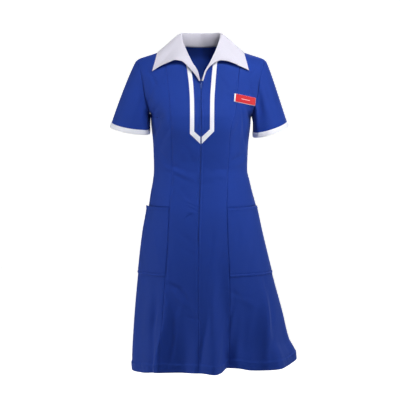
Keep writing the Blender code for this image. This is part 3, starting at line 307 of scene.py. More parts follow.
COLLAR_TIP = 0.640
COLLAR_FULLNESS = (1.1, 0.9)
COLLAR_CLEAR = 0.0028
COLLAR_STITCH = 0.0052
COLLAR_STITCH_ROOM = 0.009
COLLAR_EDGE = 0.00022
CLEAR_ROUNDS = 6
CLEAR_LIMIT = 0.020
CLEAR_WIDTH = 0.98
NECK_MIDDLE = (0.0, 0.011)
NECK_LEAN = 0.030

# Inner edges of the tapes round the zip: height, left, right
TAPE_EDGES = metres((
    (-46, 35.3, -32.5), (-110, 30, -23.5), (-160, 26.8, -20.3),
    (-210, 26.2, -19.8), (-260, 25.9, -20),
))

# Heights of each tape's top and of its corner, at its inner and at its outer edge
TAPE_TOPS = {"left": (-0.0540, -0.0440), "right": (-0.0615, -0.0460)}
TAPE_CORNERS = {"left": (-0.2441, -0.2500), "right": (-0.2509, -0.2577)}

# The slider and its pull tab, in the slider's own frame: across, up the cloth, out of the cloth
SLIDER_HEIGHT = -0.1120
SLIDER_PLATE_HALF = (0.0028, 0.0045)
SLIDER_TAPER = 0.78
SLIDER_PLATE = 0.001
SLIDER_REAR = -0.0041
POST_HALF = 0.0008
POST_SPAN = (0.0005, 0.0035)
BRIDGE_HALF = 0.0007
BRIDGE_OUTER = 0.0022
BRIDGE_INNER = 0.0013
BRIDGE_UNDER = 0.0017
BRIDGE_TOP = 0.0026
PULL_AXIS = (-0.00055, 0.00085)
PULL_BAR = 0.00045
PULL_HALF = 0.0019
PULL_LEG = 0.0008
PULL_HOLE = 0.0036
PULL_LENGTH = 0.0150
PULL_HALF_THICK = 0.00045
PULL_TILT = math.radians(3.0)
GRIP = ((-0.0011, 0.0011), (0.0068, 0.0132), (0.0003, 0.00067))
TOOTH = ((-0.0013, 0.0013), (-0.00042, 0.00042), (-0.0006, 0.0006))
OVERLAP = 0.0002

# How finely the cloth is drawn: steps from seams, edges and hems, and numbers of rows between them
EDGE_STEPS = np.array([0, 0.35, 0.8, 1.4, 2.4, 4.0, 6.5, 10.0]) / 1000
ZIP_EDGE_STEPS = np.array([0, 0.3, 0.8, 1.4, 2.4, 4.0, 5.4, 6.2, 7.0, 10.0]) / 1000
TOP_STEPS = (0.0, 0.0012, 0.0029, 0.0059, 0.0103)
TOP_ROUNDS = 30
TOP_STRIDE = 0.6
COARSE_COLUMNS = 41
UPPER_ROWS = 80
WAIST_ROWS = 96
MOUTH_ROWS = np.array([-470.0, -473.0, -474.8, -476.0, -477.0, -478.0, -479.5, -483.0]) / 1000
SKIRT_ROWS = 160
HEM_STEPS = np.array([34.0, 31.0, 28.5, 27.0, 26.2, 25.5, 24.8, 24.0, 22.5, 19.5, 16.0,
                      12.0, 8.0, 5.0, 3.0, 1.8, 1.0, 0.4, 0.0]) / 1000
PANEL_ROWS = len(TOP_STEPS) + UPPER_ROWS + WAIST_ROWS + len(MOUTH_ROWS) + SKIRT_ROWS + len(HEM_STEPS)
SLEEVE_STEPS = np.concatenate([[0, 0.0025, 0.006, 0.011, 0.019], np.linspace(0, 1, 46)[1:-1],
                               [0.985, 0.993, 1.0]])
BAND_STEPS = np.array([0, 0.4, 1.0, 1.9, 3.0, 5.0, 7.0, 9.0, 11.0, 12.1, 13.0, 13.6, 14.0])[:, None] / 1000
BAND_STITCH_ROW = 3
STAND_STEPS = np.linspace(0, 1, 15)[:-1]
FALL_STEPS = np.concatenate([np.linspace(0, 0.90, 28),
                             [0.92, 0.935, 0.948, 0.96, 0.972, 0.982, 0.990, 0.996, 1.0]])
COLLAR_PLACES = np.unique(np.concatenate([[0, 0.004, 0.010, 0.018], np.linspace(0.03, COLLAR_TIP, 62),
                                          COLLAR_TIP + np.array([-0.006, -0.003, 0.003, 0.006]),
                                          np.linspace(COLLAR_TIP, 1, 44)]))
TAPE_STEPS = np.array([0, 0.3, 0.8, 1.4, 1.8, 2.2, 3.0, 4.5]) / 1000 / TAPE_WIDTH
POCKET_EDGE_STEPS = np.array([0, 0.3, 0.7, 1.3, 2.1, 3.2, 5.0]) / 1000
POCKET_DROPS = np.concatenate([
    np.array([0, 0.4, 0.9, 1.6, 3.0, 5.0, 7.0, 8.0, 9.0, 10.0, 11.2]) / 1000,
    np.linspace(0.0135, 0.1900, 46),
    POCKET_DEPTH - np.array([9.5, 8.2, 7.5, 6.8, 5.6, 4.0, 2.5, 1.4, 0.7, 0.3, 0.0]) / 1000])
ZIP_TAPE_STEPS = np.array([0.3, 0.9, 2.0, 4.0, 6.0, 8.0, 10.0, 11.2, ZIP_TAPE_WIDTH * 1000]) / 1000

# What sewing does to the cloth: depths, distances, and waves in radians a metre
GROOVE = 0.0017
GROOVE_SPREAD = 0.0011
PUCKER = 0.00028
PUCKER_REACH = 0.007
PUCKER_START = 0.002
PUCKER_WAVES = (370, 23, 57)
PUCKER_ABOVE_HEM = 0.03
POCKET_LINE = 0.0015
POCKET_LINE_RISE = 0.0012
POCKET_LINE_SPREAD = 0.0018
HEM_STITCH = 0.0255
HEM_STITCH_DIP = 0.0009
HEM_STITCH_SPREAD = 0.0013
HEM_LAYER = 0.0024
HEM_LAYER_FADE = 0.0028
HEM_LAYER_SHIFT = 0.0010
HEM_ROPING = 0.00022
HEM_ROPING_WAVE = 290
HEM_ROPING_SLANT = 0.6
HEM_ROPING_START = 0.006
ALLOWANCE_FADE = 0.0015
LEAST_CLOTH = 0.0002
EDGE_ROUND = {"band": 0.0006, "tape": 0.0005, "pocket": 0.0009}
BAND_WAVE = 0.0002
BAND_STITCH_DIP = 0.00022
TAPE_WAVE = 0.00016
TAPE_STITCH_DIP = 0.00020
STITCH_DIP_SPREAD = 0.0006
COLLAR_STITCH_DIP = 0.00028
POCKET_DIPS = (0.0008, 0.0011)
POCKET_PUFFS = (0.0009, 0.00035)
POCKET_RIPPLE = 0.00022
ZIP_TAPE_RIPPLE = 0.00012
STITCH_SINK = 0.00035
HEM_STITCH_SINK = 0.0003
WHITE_STITCH = {"length": 0.0022, "pitch": 0.0030, "radius": 0.00020}


# Curves and tables

def hermite(t, start, end, leave, arrive, width=1):
    """A cubic from start to end over this width, with its slopes where it leaves and arrives."""
    from_start = (1 + 2 * t) * (1 - t) ** 2 * start + t * (1 - t) ** 2 * width * leave
    return from_start + (t * t * (3 - 2 * t) * end + t * t * (t - 1) * width * arrive)


def curve(places, values):
    """A smooth curve through the rows of a table that never swings past two neighbours."""
    order = np.argsort(places)
    x, y = (np.asarray(column, float)[order] for column in (places, values))
    slopes = np.diff(y) / np.diff(x)
    before, after = slopes[:-1], slopes[1:]
    same = before * after > 0
    tangents = np.zeros_like(y)
    tangents[0], tangents[-1] = slopes[0], slopes[-1]
    tangents[1:-1][same] = 2 * before[same] * after[same] / (before[same] + after[same])

    def at(query):
        query = np.clip(np.asarray(query, float), x[0], x[-1])
        k = np.clip(np.searchsorted(x, query) - 1, 0, len(x) - 2)
        width = x[k + 1] - x[k]
        return hermite((query - x[k]) / width, y[k], y[k + 1], tangents[k], tangents[k + 1], width)

    return at


def table(columns, rows):
    """One curve for each named column, along the first column."""
    places, *others = zip(*rows)
    return {name: curve(places, values) for name, values in zip(columns.split()[1:], others)}


BODY = table("height left_half right_half front_depth back_depth middle squareness", SECTIONS)
SHOULDER = curve(*zip(*SHOULDER_LINE))
NECKLINE_HEIGHT = curve(*zip(*NECKLINE))
ARMHOLE_EDGE = curve(*zip(*ARMHOLE))
BACK_SEAM = curve(*zip(*BACK_SEAMS))
FRONT_SEAM = table("height right centre left", FRONT_SEAMS)
HEM_HEIGHT = curve(*zip(*HEM))
TAPE_EDGE = table("height left right", TAPE_EDGES)
COLLAR_COLUMNS = "place seam_turn roll_x roll_y roll_z left_x left_y left_z right_x right_y right_z"


def unit(vectors):
    return vectors / np.maximum(np.linalg.norm(vectors, axis=-1, keepdims=True), 1e-12)


def bell(distance, spread):
    return np.exp(-(distance / spread) ** 2)


def ramp(distance, width=1.0):
    """0 up to distance 0, 1 from this width on, and straight in between."""
    return np.clip(distance / width, 0, 1)


def rounded(distance, radius):
    """How far an edge of this radius falls back near its end."""
    return radius * (1 - np.sqrt(1 - ramp(1 - distance / radius) ** 2))


def raised(points, normals, out):
    """Points moved out along their normals."""
    return points + normals * np.asarray(out)[..., None]


def arcs(points, axis):
    """Distances along a grid's lines from their first points."""
    steps = np.linalg.norm(np.diff(points, axis=axis), axis=-1)
    start = np.zeros_like(np.take(steps, [0], axis=axis))
    return np.concatenate([start, np.cumsum(steps, axis=axis)], axis=axis)


def closing(grid):
    """A grid whose rows are rings, with its first column again at the end."""
    return np.concatenate([grid, grid[:, :1]], axis=1)


def centred(u):
    """Distances across a grid counted from its middle column."""
    return u - u[:, [u.shape[1] // 2]]


def sampled(at, places, vectors):
    """Vectors at these places, where rows of vectors belong to other places in order."""
    return np.stack([np.interp(at, places, column) for column in vectors.T], axis=-1)


# The worn shape. Angle 0 is the front and 90 degrees the wearer's left

def top_of(across):
    """The height at which the front and the back of the dress meet, over this distance across."""
    across = np.abs(across)
    return np.where(across < NECK_HALF, (NECK_HALF - across) * NECK_RISE, SHOULDER(across))


def half_width(height, side):
    return np.where(side > 0, BODY["left_half"](height), BODY["right_half"](height))


def plain_surface(angle, height):
    """The dress with no skirt folds."""
    angle, height = np.broadcast_arrays(np.asarray(angle, float), np.asarray(height, float))
    sine, cosine = np.sin(angle), np.cos(angle)
    power = BODY["squareness"](height)
    reach = (np.abs(sine) ** power + np.abs(cosine) ** power) ** (-1 / power)
    across = half_width(height, sine) * sine * reach
    lift = np.sqrt(1 - (1 - ramp(top_of(across) - height, SHOULDER_ROLL)) ** 2)
    depth = np.where(cosine > 0, BODY["front_depth"](height), BODY["back_depth"](height))
    along = BODY["middle"](height) - depth * cosine * reach * lift
    front = ramp(cosine * reach)
    for place, level, out, wide, tall in SWELLS:
        along = along - out * bell(across - place, wide) * bell(height - level, tall) * front
    return np.stack([across, along, height], axis=-1)


def normal_of(surface, angle, height):
    """The direction that points out of the cloth."""
    turn, drop, ridge = 1e-4, 2e-4, 8e-4
    height = np.minimum(height, top_of(surface(angle, height)[..., 0]) - ridge)
    round_the_dress = surface(angle + turn, height) - surface(angle - turn, height)
    up_the_dress = surface(angle, height) - surface(angle, height - drop)
    return unit(np.cross(round_the_dress, up_the_dress))


def angle_at(across, height, back=False):
    """The angle of the point of a section that lies this far across."""
    across = np.asarray(across, float)
    power = BODY["squareness"](height)
    share = ramp(np.abs(across) / half_width(height, across))
    rest = (1 - share ** power) ** (1 / power)
    turn = np.arctan2(share, rest) * np.where(across < 0, -1, 1)
    return math.pi - turn if back else turn


BADGE_ANGLE = angle_at(*BADGE_CENTRE)
BADGE_POINT = plain_surface(BADGE_ANGLE, BADGE_CENTRE[1])
BADGE_OUT = normal_of(plain_surface, BADGE_ANGLE, BADGE_CENTRE[1])


def held_surface(angle, height):
    """The plain dress, with the cloth behind the badge held nearly flat."""
    points = plain_surface(angle, height)
    aside, _, up = np.moveaxis(points - BADGE_POINT, -1, 0)
    flat = BADGE_POINT[1] - (BADGE_OUT[0] * aside + BADGE_OUT[2] * up) / BADGE_OUT[1]
    wide, tall = BADGE_REACH
    share = BADGE_HOLD * np.exp(-(aside / wide) ** 4 - (up / tall) ** 2)
    share = np.where(np.cos(angle) > 0, share, 0)
    points[..., 1] += (np.minimum(flat, points[..., 1]) - points[..., 1]) * share
    return points


def fold_out(angle, height):
    """How far the skirt's folds stand out of the plain dress."""
    total = np.zeros(np.broadcast(angle, height).shape)
    for place, out, spread, start in FOLDS:
        away = (np.degrees(angle) - place + 180) % 360 - 180
        down = np.clip((height - start) / (FOLD_END - start), 0, FOLD_LIMIT) ** FOLD_GROWTH
        total = total + out * bell(away, spread) * down
    return total


def rumples():
    """Rows like those of the crease tables, at seeded places; most hang down the skirt."""
    draw = np.random.RandomState(RUMPLE_SEED)
    rows = []
    for _ in range(RUMPLE_COUNT):
        height = draw.uniform(*RUMPLE_HEIGHTS)
        across = draw.uniform(-1, 1) * (0.13 + 0.10 * ramp(-0.40 - height, 0.5))
        upright = height < RUMPLE_UPRIGHT
        heading = draw.normal(90, 9) if upright else draw.choice([-1, 1]) * draw.uniform(8, 75)
        stretch = 1.6 if upright else 1.0
        length = draw.uniform(0.4, 1.0) * RUMPLE_LENGTH * stretch
        width = draw.uniform(0.45, 1.0) * RUMPLE_WIDTH
        out = draw.uniform(0.35, 1.0) * RUMPLE_OUT * stretch * draw.choice([-1, 1])
        rows.append((across, height, heading, length, width, out))
    return tuple(rows)


RUMPLES = rumples()
CREASES = ((FRONT_CREASES + RUMPLES[::2], 1), (BACK_CREASES + RUMPLES[1::2], -1))


def crease(points, row, bend=CREASE_BEND):
    """How far one crease stands out of the cloth at these points."""
    across, height, heading, length, width, out = row
    sine, cosine = math.sin(math.radians(heading)), math.cos(math.radians(heading))
    x, z = points[..., 0] - across, points[..., 2] - height
    along, aside = x * cosine + z * sine, z * cosine - x * sine
    aside = aside + bend * length * np.sin(along / length * CREASE_WAVE)
    return out * bell(along, length) * bell(aside, width)


def cloth(angle, height):
    """A point of the outer face of the dress, with its folds and creases."""
    angle, height = np.broadcast_arrays(np.asarray(angle, float), np.asarray(height, float))
    points = held_surface(angle, height)
    out = fold_out(angle, height)
    for rows, facing in CREASES:
        share = ramp(np.cos(angle) * 4 * facing)
        for row in rows:
            out = out + crease(points, row) * share
    return raised(points, normal_of(held_surface, angle, height), out)


def over_cloth(angle, height):
    """Points of the cloth's outer face with their outward directions."""
    return cloth(angle, height), normal_of(cloth, angle, height)


# Seam lines. Each gives an angle at a height

def princess_seam(word):
    return lambda height: angle_at(FRONT_SEAM[word](height), height)


def back_seam(side):
    return lambda height: angle_at(side * BACK_SEAM(height), height, back=True)


def beside_zip(aside, height):
    """The angle this far to the left of the zip's middle."""
    return angle_at(FRONT_SEAM["centre"](height) + aside, height)


def centre_edge(side):
    """One edge of the front opening, which stands apart for the zip and opens round its slider."""
    def at(height):
        mouth = ramp(height - ZIP_MOUTH_END, ZIP_MOUTH_HOLD - ZIP_MOUTH_END)
        gap = ZIP_HALF_GAP + (ZIP_MOUTH_HALF - ZIP_HALF_GAP) * mouth
        return beside_zip(side * gap * ramp(height - ZIP_END, ZIP_CLOSE), height)
    return at


def side_edge(side, back):
    """The side seam, and above the underarm the armhole's edge."""
    middle = 1.5 * math.pi if back and side < 0 else side * math.pi / 2

    def at(height):
        armhole = angle_at(side * ARMHOLE_EDGE(height), height, back)
        return np.where(height > UNDERARM, armhole, middle)
    return at


def neck_height(across, back):
    """The height of the neckline, and past it of the shoulder seam."""
    across = np.abs(across)
    inside = -BACK_NECK_DROP * (1 - (across / NECK_HALF) ** 2) if back else NECKLINE_HEIGHT(across)
    return np.where(across < NECK_HALF, inside, top_of(across))


def groove(distance):
    """How deep the cloth rolls in beside a seam."""
    return GROOVE * np.exp(-(distance / GROOVE_SPREAD))


def allowance(distance):
    """How much a seam's pressed-back allowance adds behind the cloth."""
    return ALLOWANCE_CLOTH * ramp(ALLOWANCE - distance, ALLOWANCE_FADE)


def pucker(along, away):
    """The small waves that sewing draws into the cloth beside a seam."""
    short, drift, swell = PUCKER_WAVES
    wave = np.sin(along * short + 2.1 * np.sin(along * drift)) * (0.6 + 0.4 * np.sin(along * swell))
    return PUCKER * wave * np.exp(-(away / PUCKER_REACH)) * ramp(away, PUCKER_START)


def columns_between(width, first, last, count):
    """Distances across rows of these widths: steps from both ends, and even ones in between."""
    inner = np.linspace(0, 1, count + 2)[1:-1]
    middle = first[-1] + (width - first[-1] - last[-1]) * inner
    return np.concatenate([np.repeat(first[None], len(width), 0), middle, width - last[::-1]], axis=1)


def shares_at(places, width, coarse):
    """Each row's shares of the way across at these distances."""
    return np.stack([np.interp(place, far, coarse) for place, far in zip(places, width)])


class Panel:
    """A panel's fine grid: its points, outward directions, and distances from its edges."""

    def __init__(self, first, last, count, back=False, zip_side=0):
        self.first, self.last, self.zip_side = first, last, zip_side
        self.coarse = coarse = np.linspace(0, 1, COARSE_COLUMNS)
        self.tops = np.zeros(len(coarse))
        for _ in range(TOP_ROUNDS):
            angle = self.angle(coarse, self.tops)
            wanted = neck_height(plain_surface(angle, self.tops)[..., 0], back)
            self.tops = self.tops + TOP_STRIDE * (wanted - self.tops)
        hem_angle = np.degrees(self.angle(coarse, np.full(len(coarse), FOLD_END)))
        self.hems = HEM_HEIGHT(np.where(hem_angle > 270, hem_angle - 360, hem_angle))
        heights = self.rows(np.repeat(coarse[None], PANEL_ROWS, axis=0))
        width = arcs(plain_surface(self.angle(coarse[None], heights), heights), 1)
        first_steps = ZIP_EDGE_STEPS if zip_side > 0 else EDGE_STEPS
        last_steps = ZIP_EDGE_STEPS if zip_side < 0 else EDGE_STEPS
        places = columns_between(width[:, -1:], first_steps, last_steps, count)
        shares = shares_at(places, width, coarse)
        self.heights = self.rows(shares)
        self.points = cloth(self.angle(shares, self.heights), self.heights)
        across, down = np.gradient(self.points, axis=1), np.gradient(self.points, axis=0)
        self.normals = unit(np.cross(down, across))
        sides = places, width[:, -1:] - places
        self.from_sides = sides[::-1] if zip_side < 0 else sides
        self.from_top = arcs(self.points, 0)
        self.above_hem = self.heights - np.interp(shares, coarse, self.hems)
        self.u = centred(arcs(self.points, 1))

    def angle(self, shares, heights):
        first, last = self.first(heights), self.last(heights)
        return first + (last - first) * shares

    def rows(self, shares):
        """Heights from the top edge to the underarm, then to the hem, which has rows of its own."""
        top, hem = (np.interp(shares, self.coarse, ends) for ends in (self.tops, self.hems))
        upper = (1 - np.cos(np.append(TOP_STEPS, np.linspace(0, 1, UPPER_ROWS + 1)[1:]) * math.pi)) / 2
        fixed = np.append(np.linspace(UNDERARM, MOUTH_ROWS[0], WAIST_ROWS + 2)[1:-1], MOUTH_ROWS)
        lower = np.linspace(0, 1, SKIRT_ROWS + 2)[1:-1, None]
        a = len(upper)
        b = a + len(fixed)
        c = b + SKIRT_ROWS
        result = np.empty_like(shares)
        result[:a] = top[:a] + (UNDERARM - top[:a]) * upper[:, None]
        result[a:b] = fixed[:, None]
        result[b:c] = MOUTH_ROWS[-1] + (hem[b:c] + HEM_STEPS[0] - MOUTH_ROWS[-1]) * lower
        result[c:] = hem[c:] + HEM_STEPS[:, None]
        return result


# Making pieces

def link(name, data):
    thing = bpy.data.objects.new(name, data)
    bpy.context.scene.collection.objects.link(thing)
    return thing


def cloth_piece(name, outer, inner, u, v, closed):
    """A sheet of cloth between two grids; a closed one meets itself round its rows."""
    rows, columns = outer.shape[:2]
    below = rows * columns
    points = np.concatenate([outer.reshape(-1, 3), inner.reshape(-1, 3)])
    faces, maps = [], []

    def add(corners, places, reverse=False):
        strip = np.stack(corners, axis=-1).reshape(-1, 4)
        strip_map = np.stack([np.stack([u[at], v[at]], axis=-1) for at in places], axis=-2).reshape(-1, 4, 2)
        faces.append(strip[:, ::-1] if reverse else strip)
        maps.append(strip_map[:, ::-1] if reverse else strip_map)

    def rim(i, j, k, l, reverse):
        a, b = i * columns + j % columns, k * columns + l % columns
        add((a, b, b + below, a + below), ((i, j), (k, l), (k, l), (i, j)), reverse)

    j = np.arange(columns if closed else columns - 1)
    r, c = np.meshgrid(np.arange(rows - 1), j, indexing="ij")
    d = (c + 1) % columns
    quads = (r * columns + c, (r + 1) * columns + c, (r + 1) * columns + d, r * columns + d)
    places = ((r, c), (r + 1, c), (r + 1, c + 1), (r, c + 1))
    add(quads, places)
    add([quad + below for quad in quads], places, True)
    top, bottom = np.zeros_like(j), np.full_like(j, rows - 1)
    rim(top, j, top, j + 1, False)
    rim(bottom, j, bottom, j + 1, True)
    if not closed:
        i = np.arange(rows - 1)
        first, last = np.zeros_like(i), np.full_like(i, columns - 1)
        rim(i, first, i + 1, first, True)
        rim(i, last, i + 1, last, False)
    faces, maps = np.concatenate(faces), np.concatenate(maps)
    a, b, c, d = (points[faces[:, i]] for i in range(4))
    if np.sum(a * np.cross(b, c)) + np.sum(a * np.cross(c, d)) < 0:
        faces, maps = faces[:, ::-1], maps[:, ::-1]
    mesh = bpy.data.meshes.new(name)
    mesh.from_pydata(points.tolist(), [], faces.tolist())
    layer = mesh.uv_layers.new(name="cloth")
    layer.data.foreach_set("uv", maps.astype(np.float32).ravel())
    mesh.shade_smooth()
    return link(name, mesh)


def sew(node, points, normals, top, under, material, closed=False, u=None, v=None):
    """A sheet that stands for its CAD node and rides on the dress. Gives its outer points.

    Its two faces lie these distances out of the points. A closed one has rows that are rings.
    """
    grid = closing(points) if closed else points
    across, down = arcs(grid, 1), arcs(grid, 0)
    u = across if u is None else u
    v = -down if v is None else v
    outer = raised(points, normals, top)
    piece = cloth_piece(node + "_cloth", outer, raised(points, normals, under), u, v, closed)
    piece.data.materials.append(material)
    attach(piece, DRESS)
    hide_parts(node)
    return outer


def select_only(*pieces):
    """Select these pieces and nothing else. The first is the active one."""
    bpy.ops.object.select_all(action="DESELECT")
    for piece in pieces:
        piece.select_set(True)
    bpy.context.view_layer.objects.active = pieces[0]


def primitive(add, name, **settings):
    """A new primitive, with nothing else selected."""
    bpy.ops.object.select_all(action="DESELECT")
    add(**settings)
    piece = bpy.context.object
    piece.name = name
    return piece


def edit(piece, *steps):
    """Run edit-mode steps on all of one piece."""
    select_only(piece)
    bpy.ops.object.mode_set(mode="EDIT")
    bpy.ops.mesh.select_all(action="SELECT")
    for step in steps:
        step()
    bpy.ops.object.mode_set(mode="OBJECT")


def block(name, across, up, out, bevel, segments=2):
    """A box between limits in its own frame, its edges rounded by a bevel of this width."""
    low, high = np.transpose([across, up, out])
    piece = primitive(bpy.ops.mesh.primitive_cube_add, name, size=1.0, location=(0, 0, 0))
    edit(piece, lambda: bpy.ops.transform.resize(value=tuple(high - low)),
         lambda: bpy.ops.transform.translate(value=tuple((low + high) / 2)))
    edges = piece.modifiers.new("edges", "BEVEL")
    edges.width = bevel
    edges.segments = segments
    edges.limit_method = "ANGLE"
    select_only(piece)
    bpy.ops.object.modifier_apply(modifier=edges.name)
    return piece


def join(pieces, name):
    select_only(*pieces)
    bpy.ops.object.join()
    pieces[0].name = name
    return pieces[0]


def settle(piece, origin, axes, node, body, material):
    """Put a hard piece modelled in its own frame where it belongs on the dress."""
    matrix = np.eye(4)
    matrix[:3, :3] = np.transpose(axes)
    matrix[:3, 3] = origin
    piece.data.transform(Matrix(matrix))
    piece.data.shade_smooth()
    piece.data.set_sharp_from_angle(angle=math.radians(35))
    piece.data.materials.clear()
    piece.data.materials.append(material)
    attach(piece, body)
    if node:
        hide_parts(node)


def shape_of(piece):
    """The points and faces of a modelled shape, which is then taken away."""
    points = np.array([v.co for v in piece.data.vertices])
    faces = [tuple(p.vertices) for p in piece.data.polygons]
    bpy.data.objects.remove(piece)
    return points, faces


def repeat(name, shape, places, ahead, out, sizes=(1, 1, 1)):
    """Copies of one shape, each with its own mesh points, joined into one piece."""
    points, faces = shape
    side = unit(np.cross(out, ahead))
    axes = np.stack([ahead, side, np.cross(ahead, side)], axis=1)
    copies = np.einsum("vi,nij->nvj", points * np.asarray(sizes), axes) + places[:, None]
    all_faces = [[i + k * len(points) for i in face] for k in range(len(places)) for face in faces]
    mesh = bpy.data.meshes.new(name)
    mesh.from_pydata(copies.reshape(-1, 3).tolist(), [], all_faces)
    mesh.shade_smooth()
    return link(name, mesh)


# One stitch: a small ball drawn out along its length
ball = primitive(bpy.ops.mesh.primitive_uv_sphere_add, "stitch", segments=6, ring_count=4, radius=1.0)
edit(ball, lambda: bpy.ops.transform.rotate(value=math.pi / 2, orient_axis="Y", center_override=(0, 0, 0)))
STITCH = shape_of(ball)


def stitches(name, lines, material, length=0.0026, pitch=0.0034, radius=0.00024):
    """Rows of stitches along lines of points with their outward directions."""
    places, ahead, out = [], [], []
    for points, normals in lines:
        far = arcs(points, 0)
        count = int(far[-1] / pitch)
        at = (np.arange(count) + 0.5) * far[-1] / count
        before, after = (sampled(at + step, far, points) for step in (-length / 2, length / 2))
        places.append(sampled(at, far, points))
        ahead.append(unit(after - before))
        out.append(unit(sampled(at, far, normals)))
    places, ahead, out = (np.concatenate(part) for part in (places, ahead, out))
    piece = repeat(name, STITCH, places, ahead, out, (length / 2, radius, radius))
    piece.data.materials.append(material)
    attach(piece, DRESS)


# Finishes

def feed(tree, node, inputs):
    """Give a node's inputs their values, or link them to other nodes."""
    for name, value in inputs.items():
        if isinstance(value, bpy.types.NodeSocket):
            tree.links.new(value, node.inputs[name])
        else:
            node.inputs[name].default_value = value
    return node


def new_node(tree, kind, inputs):
    return feed(tree, tree.nodes.new("ShaderNode" + kind), inputs)


def math_node(tree, operation, *values):
    node = tree.nodes.new("ShaderNodeMath")
    node.operation = operation
    return feed(tree, node, dict(enumerate(values))).outputs[0]


def node_group(name, inputs, outputs):
    """An empty group with its own input and output nodes."""
    group = bpy.data.node_groups.new(name, "ShaderNodeTree")
    for socket, value in inputs.items():
        made = group.interface.new_socket(name=socket, in_out="INPUT", socket_type="NodeSocketFloat")
        made.default_value = value
    for socket in outputs:
        group.interface.new_socket(name=socket, in_out="OUTPUT", socket_type="NodeSocketFloat")
    return group, group.nodes.new("NodeGroupInput").outputs, group.nodes.new("NodeGroupOutput")


def twill_group():
    """Diagonal ribs of a twill and the threads across them, from a UV map in metres. Its Shade output is
    painted shade: lighter on the rib tops, darker in the hollows between them.
    """
    group, given, end = node_group("twill_weave", {"Rib Width": 0.0009, "Steepness": 1.6},
                                   ("Height", "Shade"))
    place = group.nodes.new("ShaderNodeUVMap")
    place.uv_map = "cloth"
    split = new_node(group, "SeparateXYZ", {0: place.outputs[0]}).outputs
    slant = math_node(group, "MULTIPLY", split["X"], given["Steepness"])
    ribs = math_node(group, "ADD", slant, split["Y"])
    turns = math_node(group, "DIVIDE", ribs, given["Rib Width"])
    rib = math_node(group, "SINE", math_node(group, "MULTIPLY", turns, 2 * math.pi))
    threads = math_node(group, "DIVIDE", split["Y"], given["Rib Width"])
    thread = math_node(group, "SINE", math_node(group, "MULTIPLY", threads, 5 * math.pi))
    both = math_node(group, "ADD", math_node(group, "MULTIPLY", rib, 0.35), 0.5)
    height = math_node(group, "ADD", both, math_node(group, "MULTIPLY", thread, 0.12))
    # Painted shade: the colour factor follows the rib height, darker in the hollows between ribs and lighter
    # on their tops.
    shade = math_node(group, "ADD", math_node(group, "MULTIPLY", rib, 0.05), 1.0)
    feed(group, end, {"Height": height, "Shade": shade})
    return group


def wear_group():
    """Slow changes of depth and fine fuzz that every cloth has, as a factor and a roughness."""
    group, given, end = node_group("cloth_wear", {"Amount": 0.08, "Roughness": 0.8},
                                   ("Shade", "Roughness", "Relief"))
    place = group.nodes.new("ShaderNodeTexCoord").outputs["Object"]
    slow, fine, soft = (
        new_node(group, "TexNoise", {"Scale": scale, "Detail": detail, "Vector": place}).outputs["Fac"]
        for scale, detail in ((9.0, 3.0), (650.0, 2.0), (38.0, 2.0)))
    centre = math_node(group, "SUBTRACT", slow, 0.5)
    grain = math_node(group, "MULTIPLY", math_node(group, "SUBTRACT", fine, 0.5), 0.8)
    mixed = math_node(group, "MULTIPLY", math_node(group, "ADD", centre, grain), given["Amount"])
    rough = math_node(group, "ADD", given["Roughness"], math_node(group, "MULTIPLY", centre, 0.2))
    shade = math_node(group, "ADD", mixed, 1.0)
    feed(group, end, {"Shade": shade, "Roughness": rough, "Relief": soft})
    return group


TWILL, WEAR = twill_group(), wear_group()


def new_material(name):
    material = bpy.data.materials.new(name)
    material.use_nodes = True
    return material, material.node_tree, material.node_tree.nodes["Principled BSDF"]


def group_node(tree, group, inputs):
    node = tree.nodes.new("ShaderNodeGroup")
    node.node_tree = group
    return feed(tree, node, inputs).outputs


def shaded(tree, colour, factor):
    """A colour made lighter and darker by a factor."""
    base = tree.nodes.new("ShaderNodeRGB")
    base.outputs[0].default_value = (*colour, 1.0)
    scale = tree.nodes.new("ShaderNodeVectorMath")
    scale.operation = "SCALE"
    return feed(tree, scale, {0: base.outputs[0], "Scale": factor}).outputs[0]


def cloth_finish(name, colour, roughness, rib, amount, sheen, bump=0.25, relief=0.0006, glint=(1, 1, 1)):
    """A woven cloth: base colour with slow variation, ribs that catch the light through their bump and
    through painted shade in their hollows, and a soft sheen.
    """
    material, tree, shader = new_material(name)
    weave = group_node(tree, TWILL, {"Rib Width": rib})
    wear = group_node(tree, WEAR, {"Amount": amount, "Roughness": roughness})
    waves = new_node(tree, "Bump", {"Strength": 0.5, "Distance": relief, "Height": wear["Relief"]})
    ribs = new_node(tree, "Bump", {"Strength": bump, "Distance": 0.00015, "Height": weave["Height"],
                                   "Normal": waves.outputs[0]})
    feed(tree, shader, {
        # Painted rib shade from the weave, times the random tone of the cloth from the wear.
        "Base Color": shaded(tree, colour, math_node(tree, "MULTIPLY", weave["Shade"], wear["Shade"])),
        "Roughness": wear["Roughness"],
        "Normal": ribs.outputs[0],
        "Sheen Weight": sheen,
        "Sheen Roughness": 0.4,
        "Sheen Tint": (*glint, 1.0),
        "Specular IOR Level": 0.2,
        "Specular Tint": (*glint, 1.0),
    })
    return material


def hard_finish(name, colour, roughness, metallic=0.0, coat=0.0, scratches=0.0, glint=(1, 1, 1)):
    """Moulded plastic or enamelled metal, with fine handling marks in its gloss."""
    material, tree, shader = new_material(name)
    wear = group_node(tree, WEAR, {"Amount": 0.05 + scratches, "Roughness": roughness})
    feed(tree, shader, {
        "Base Color": shaded(tree, colour, wear["Shade"]),
        "Roughness": wear["Roughness"],
        "Metallic": metallic,
        "Coat Weight": coat,
        "Specular Tint": (*glint, 1.0),
    })
    return material


BLUE_GLINT = (0.38, 0.57, 1.0)

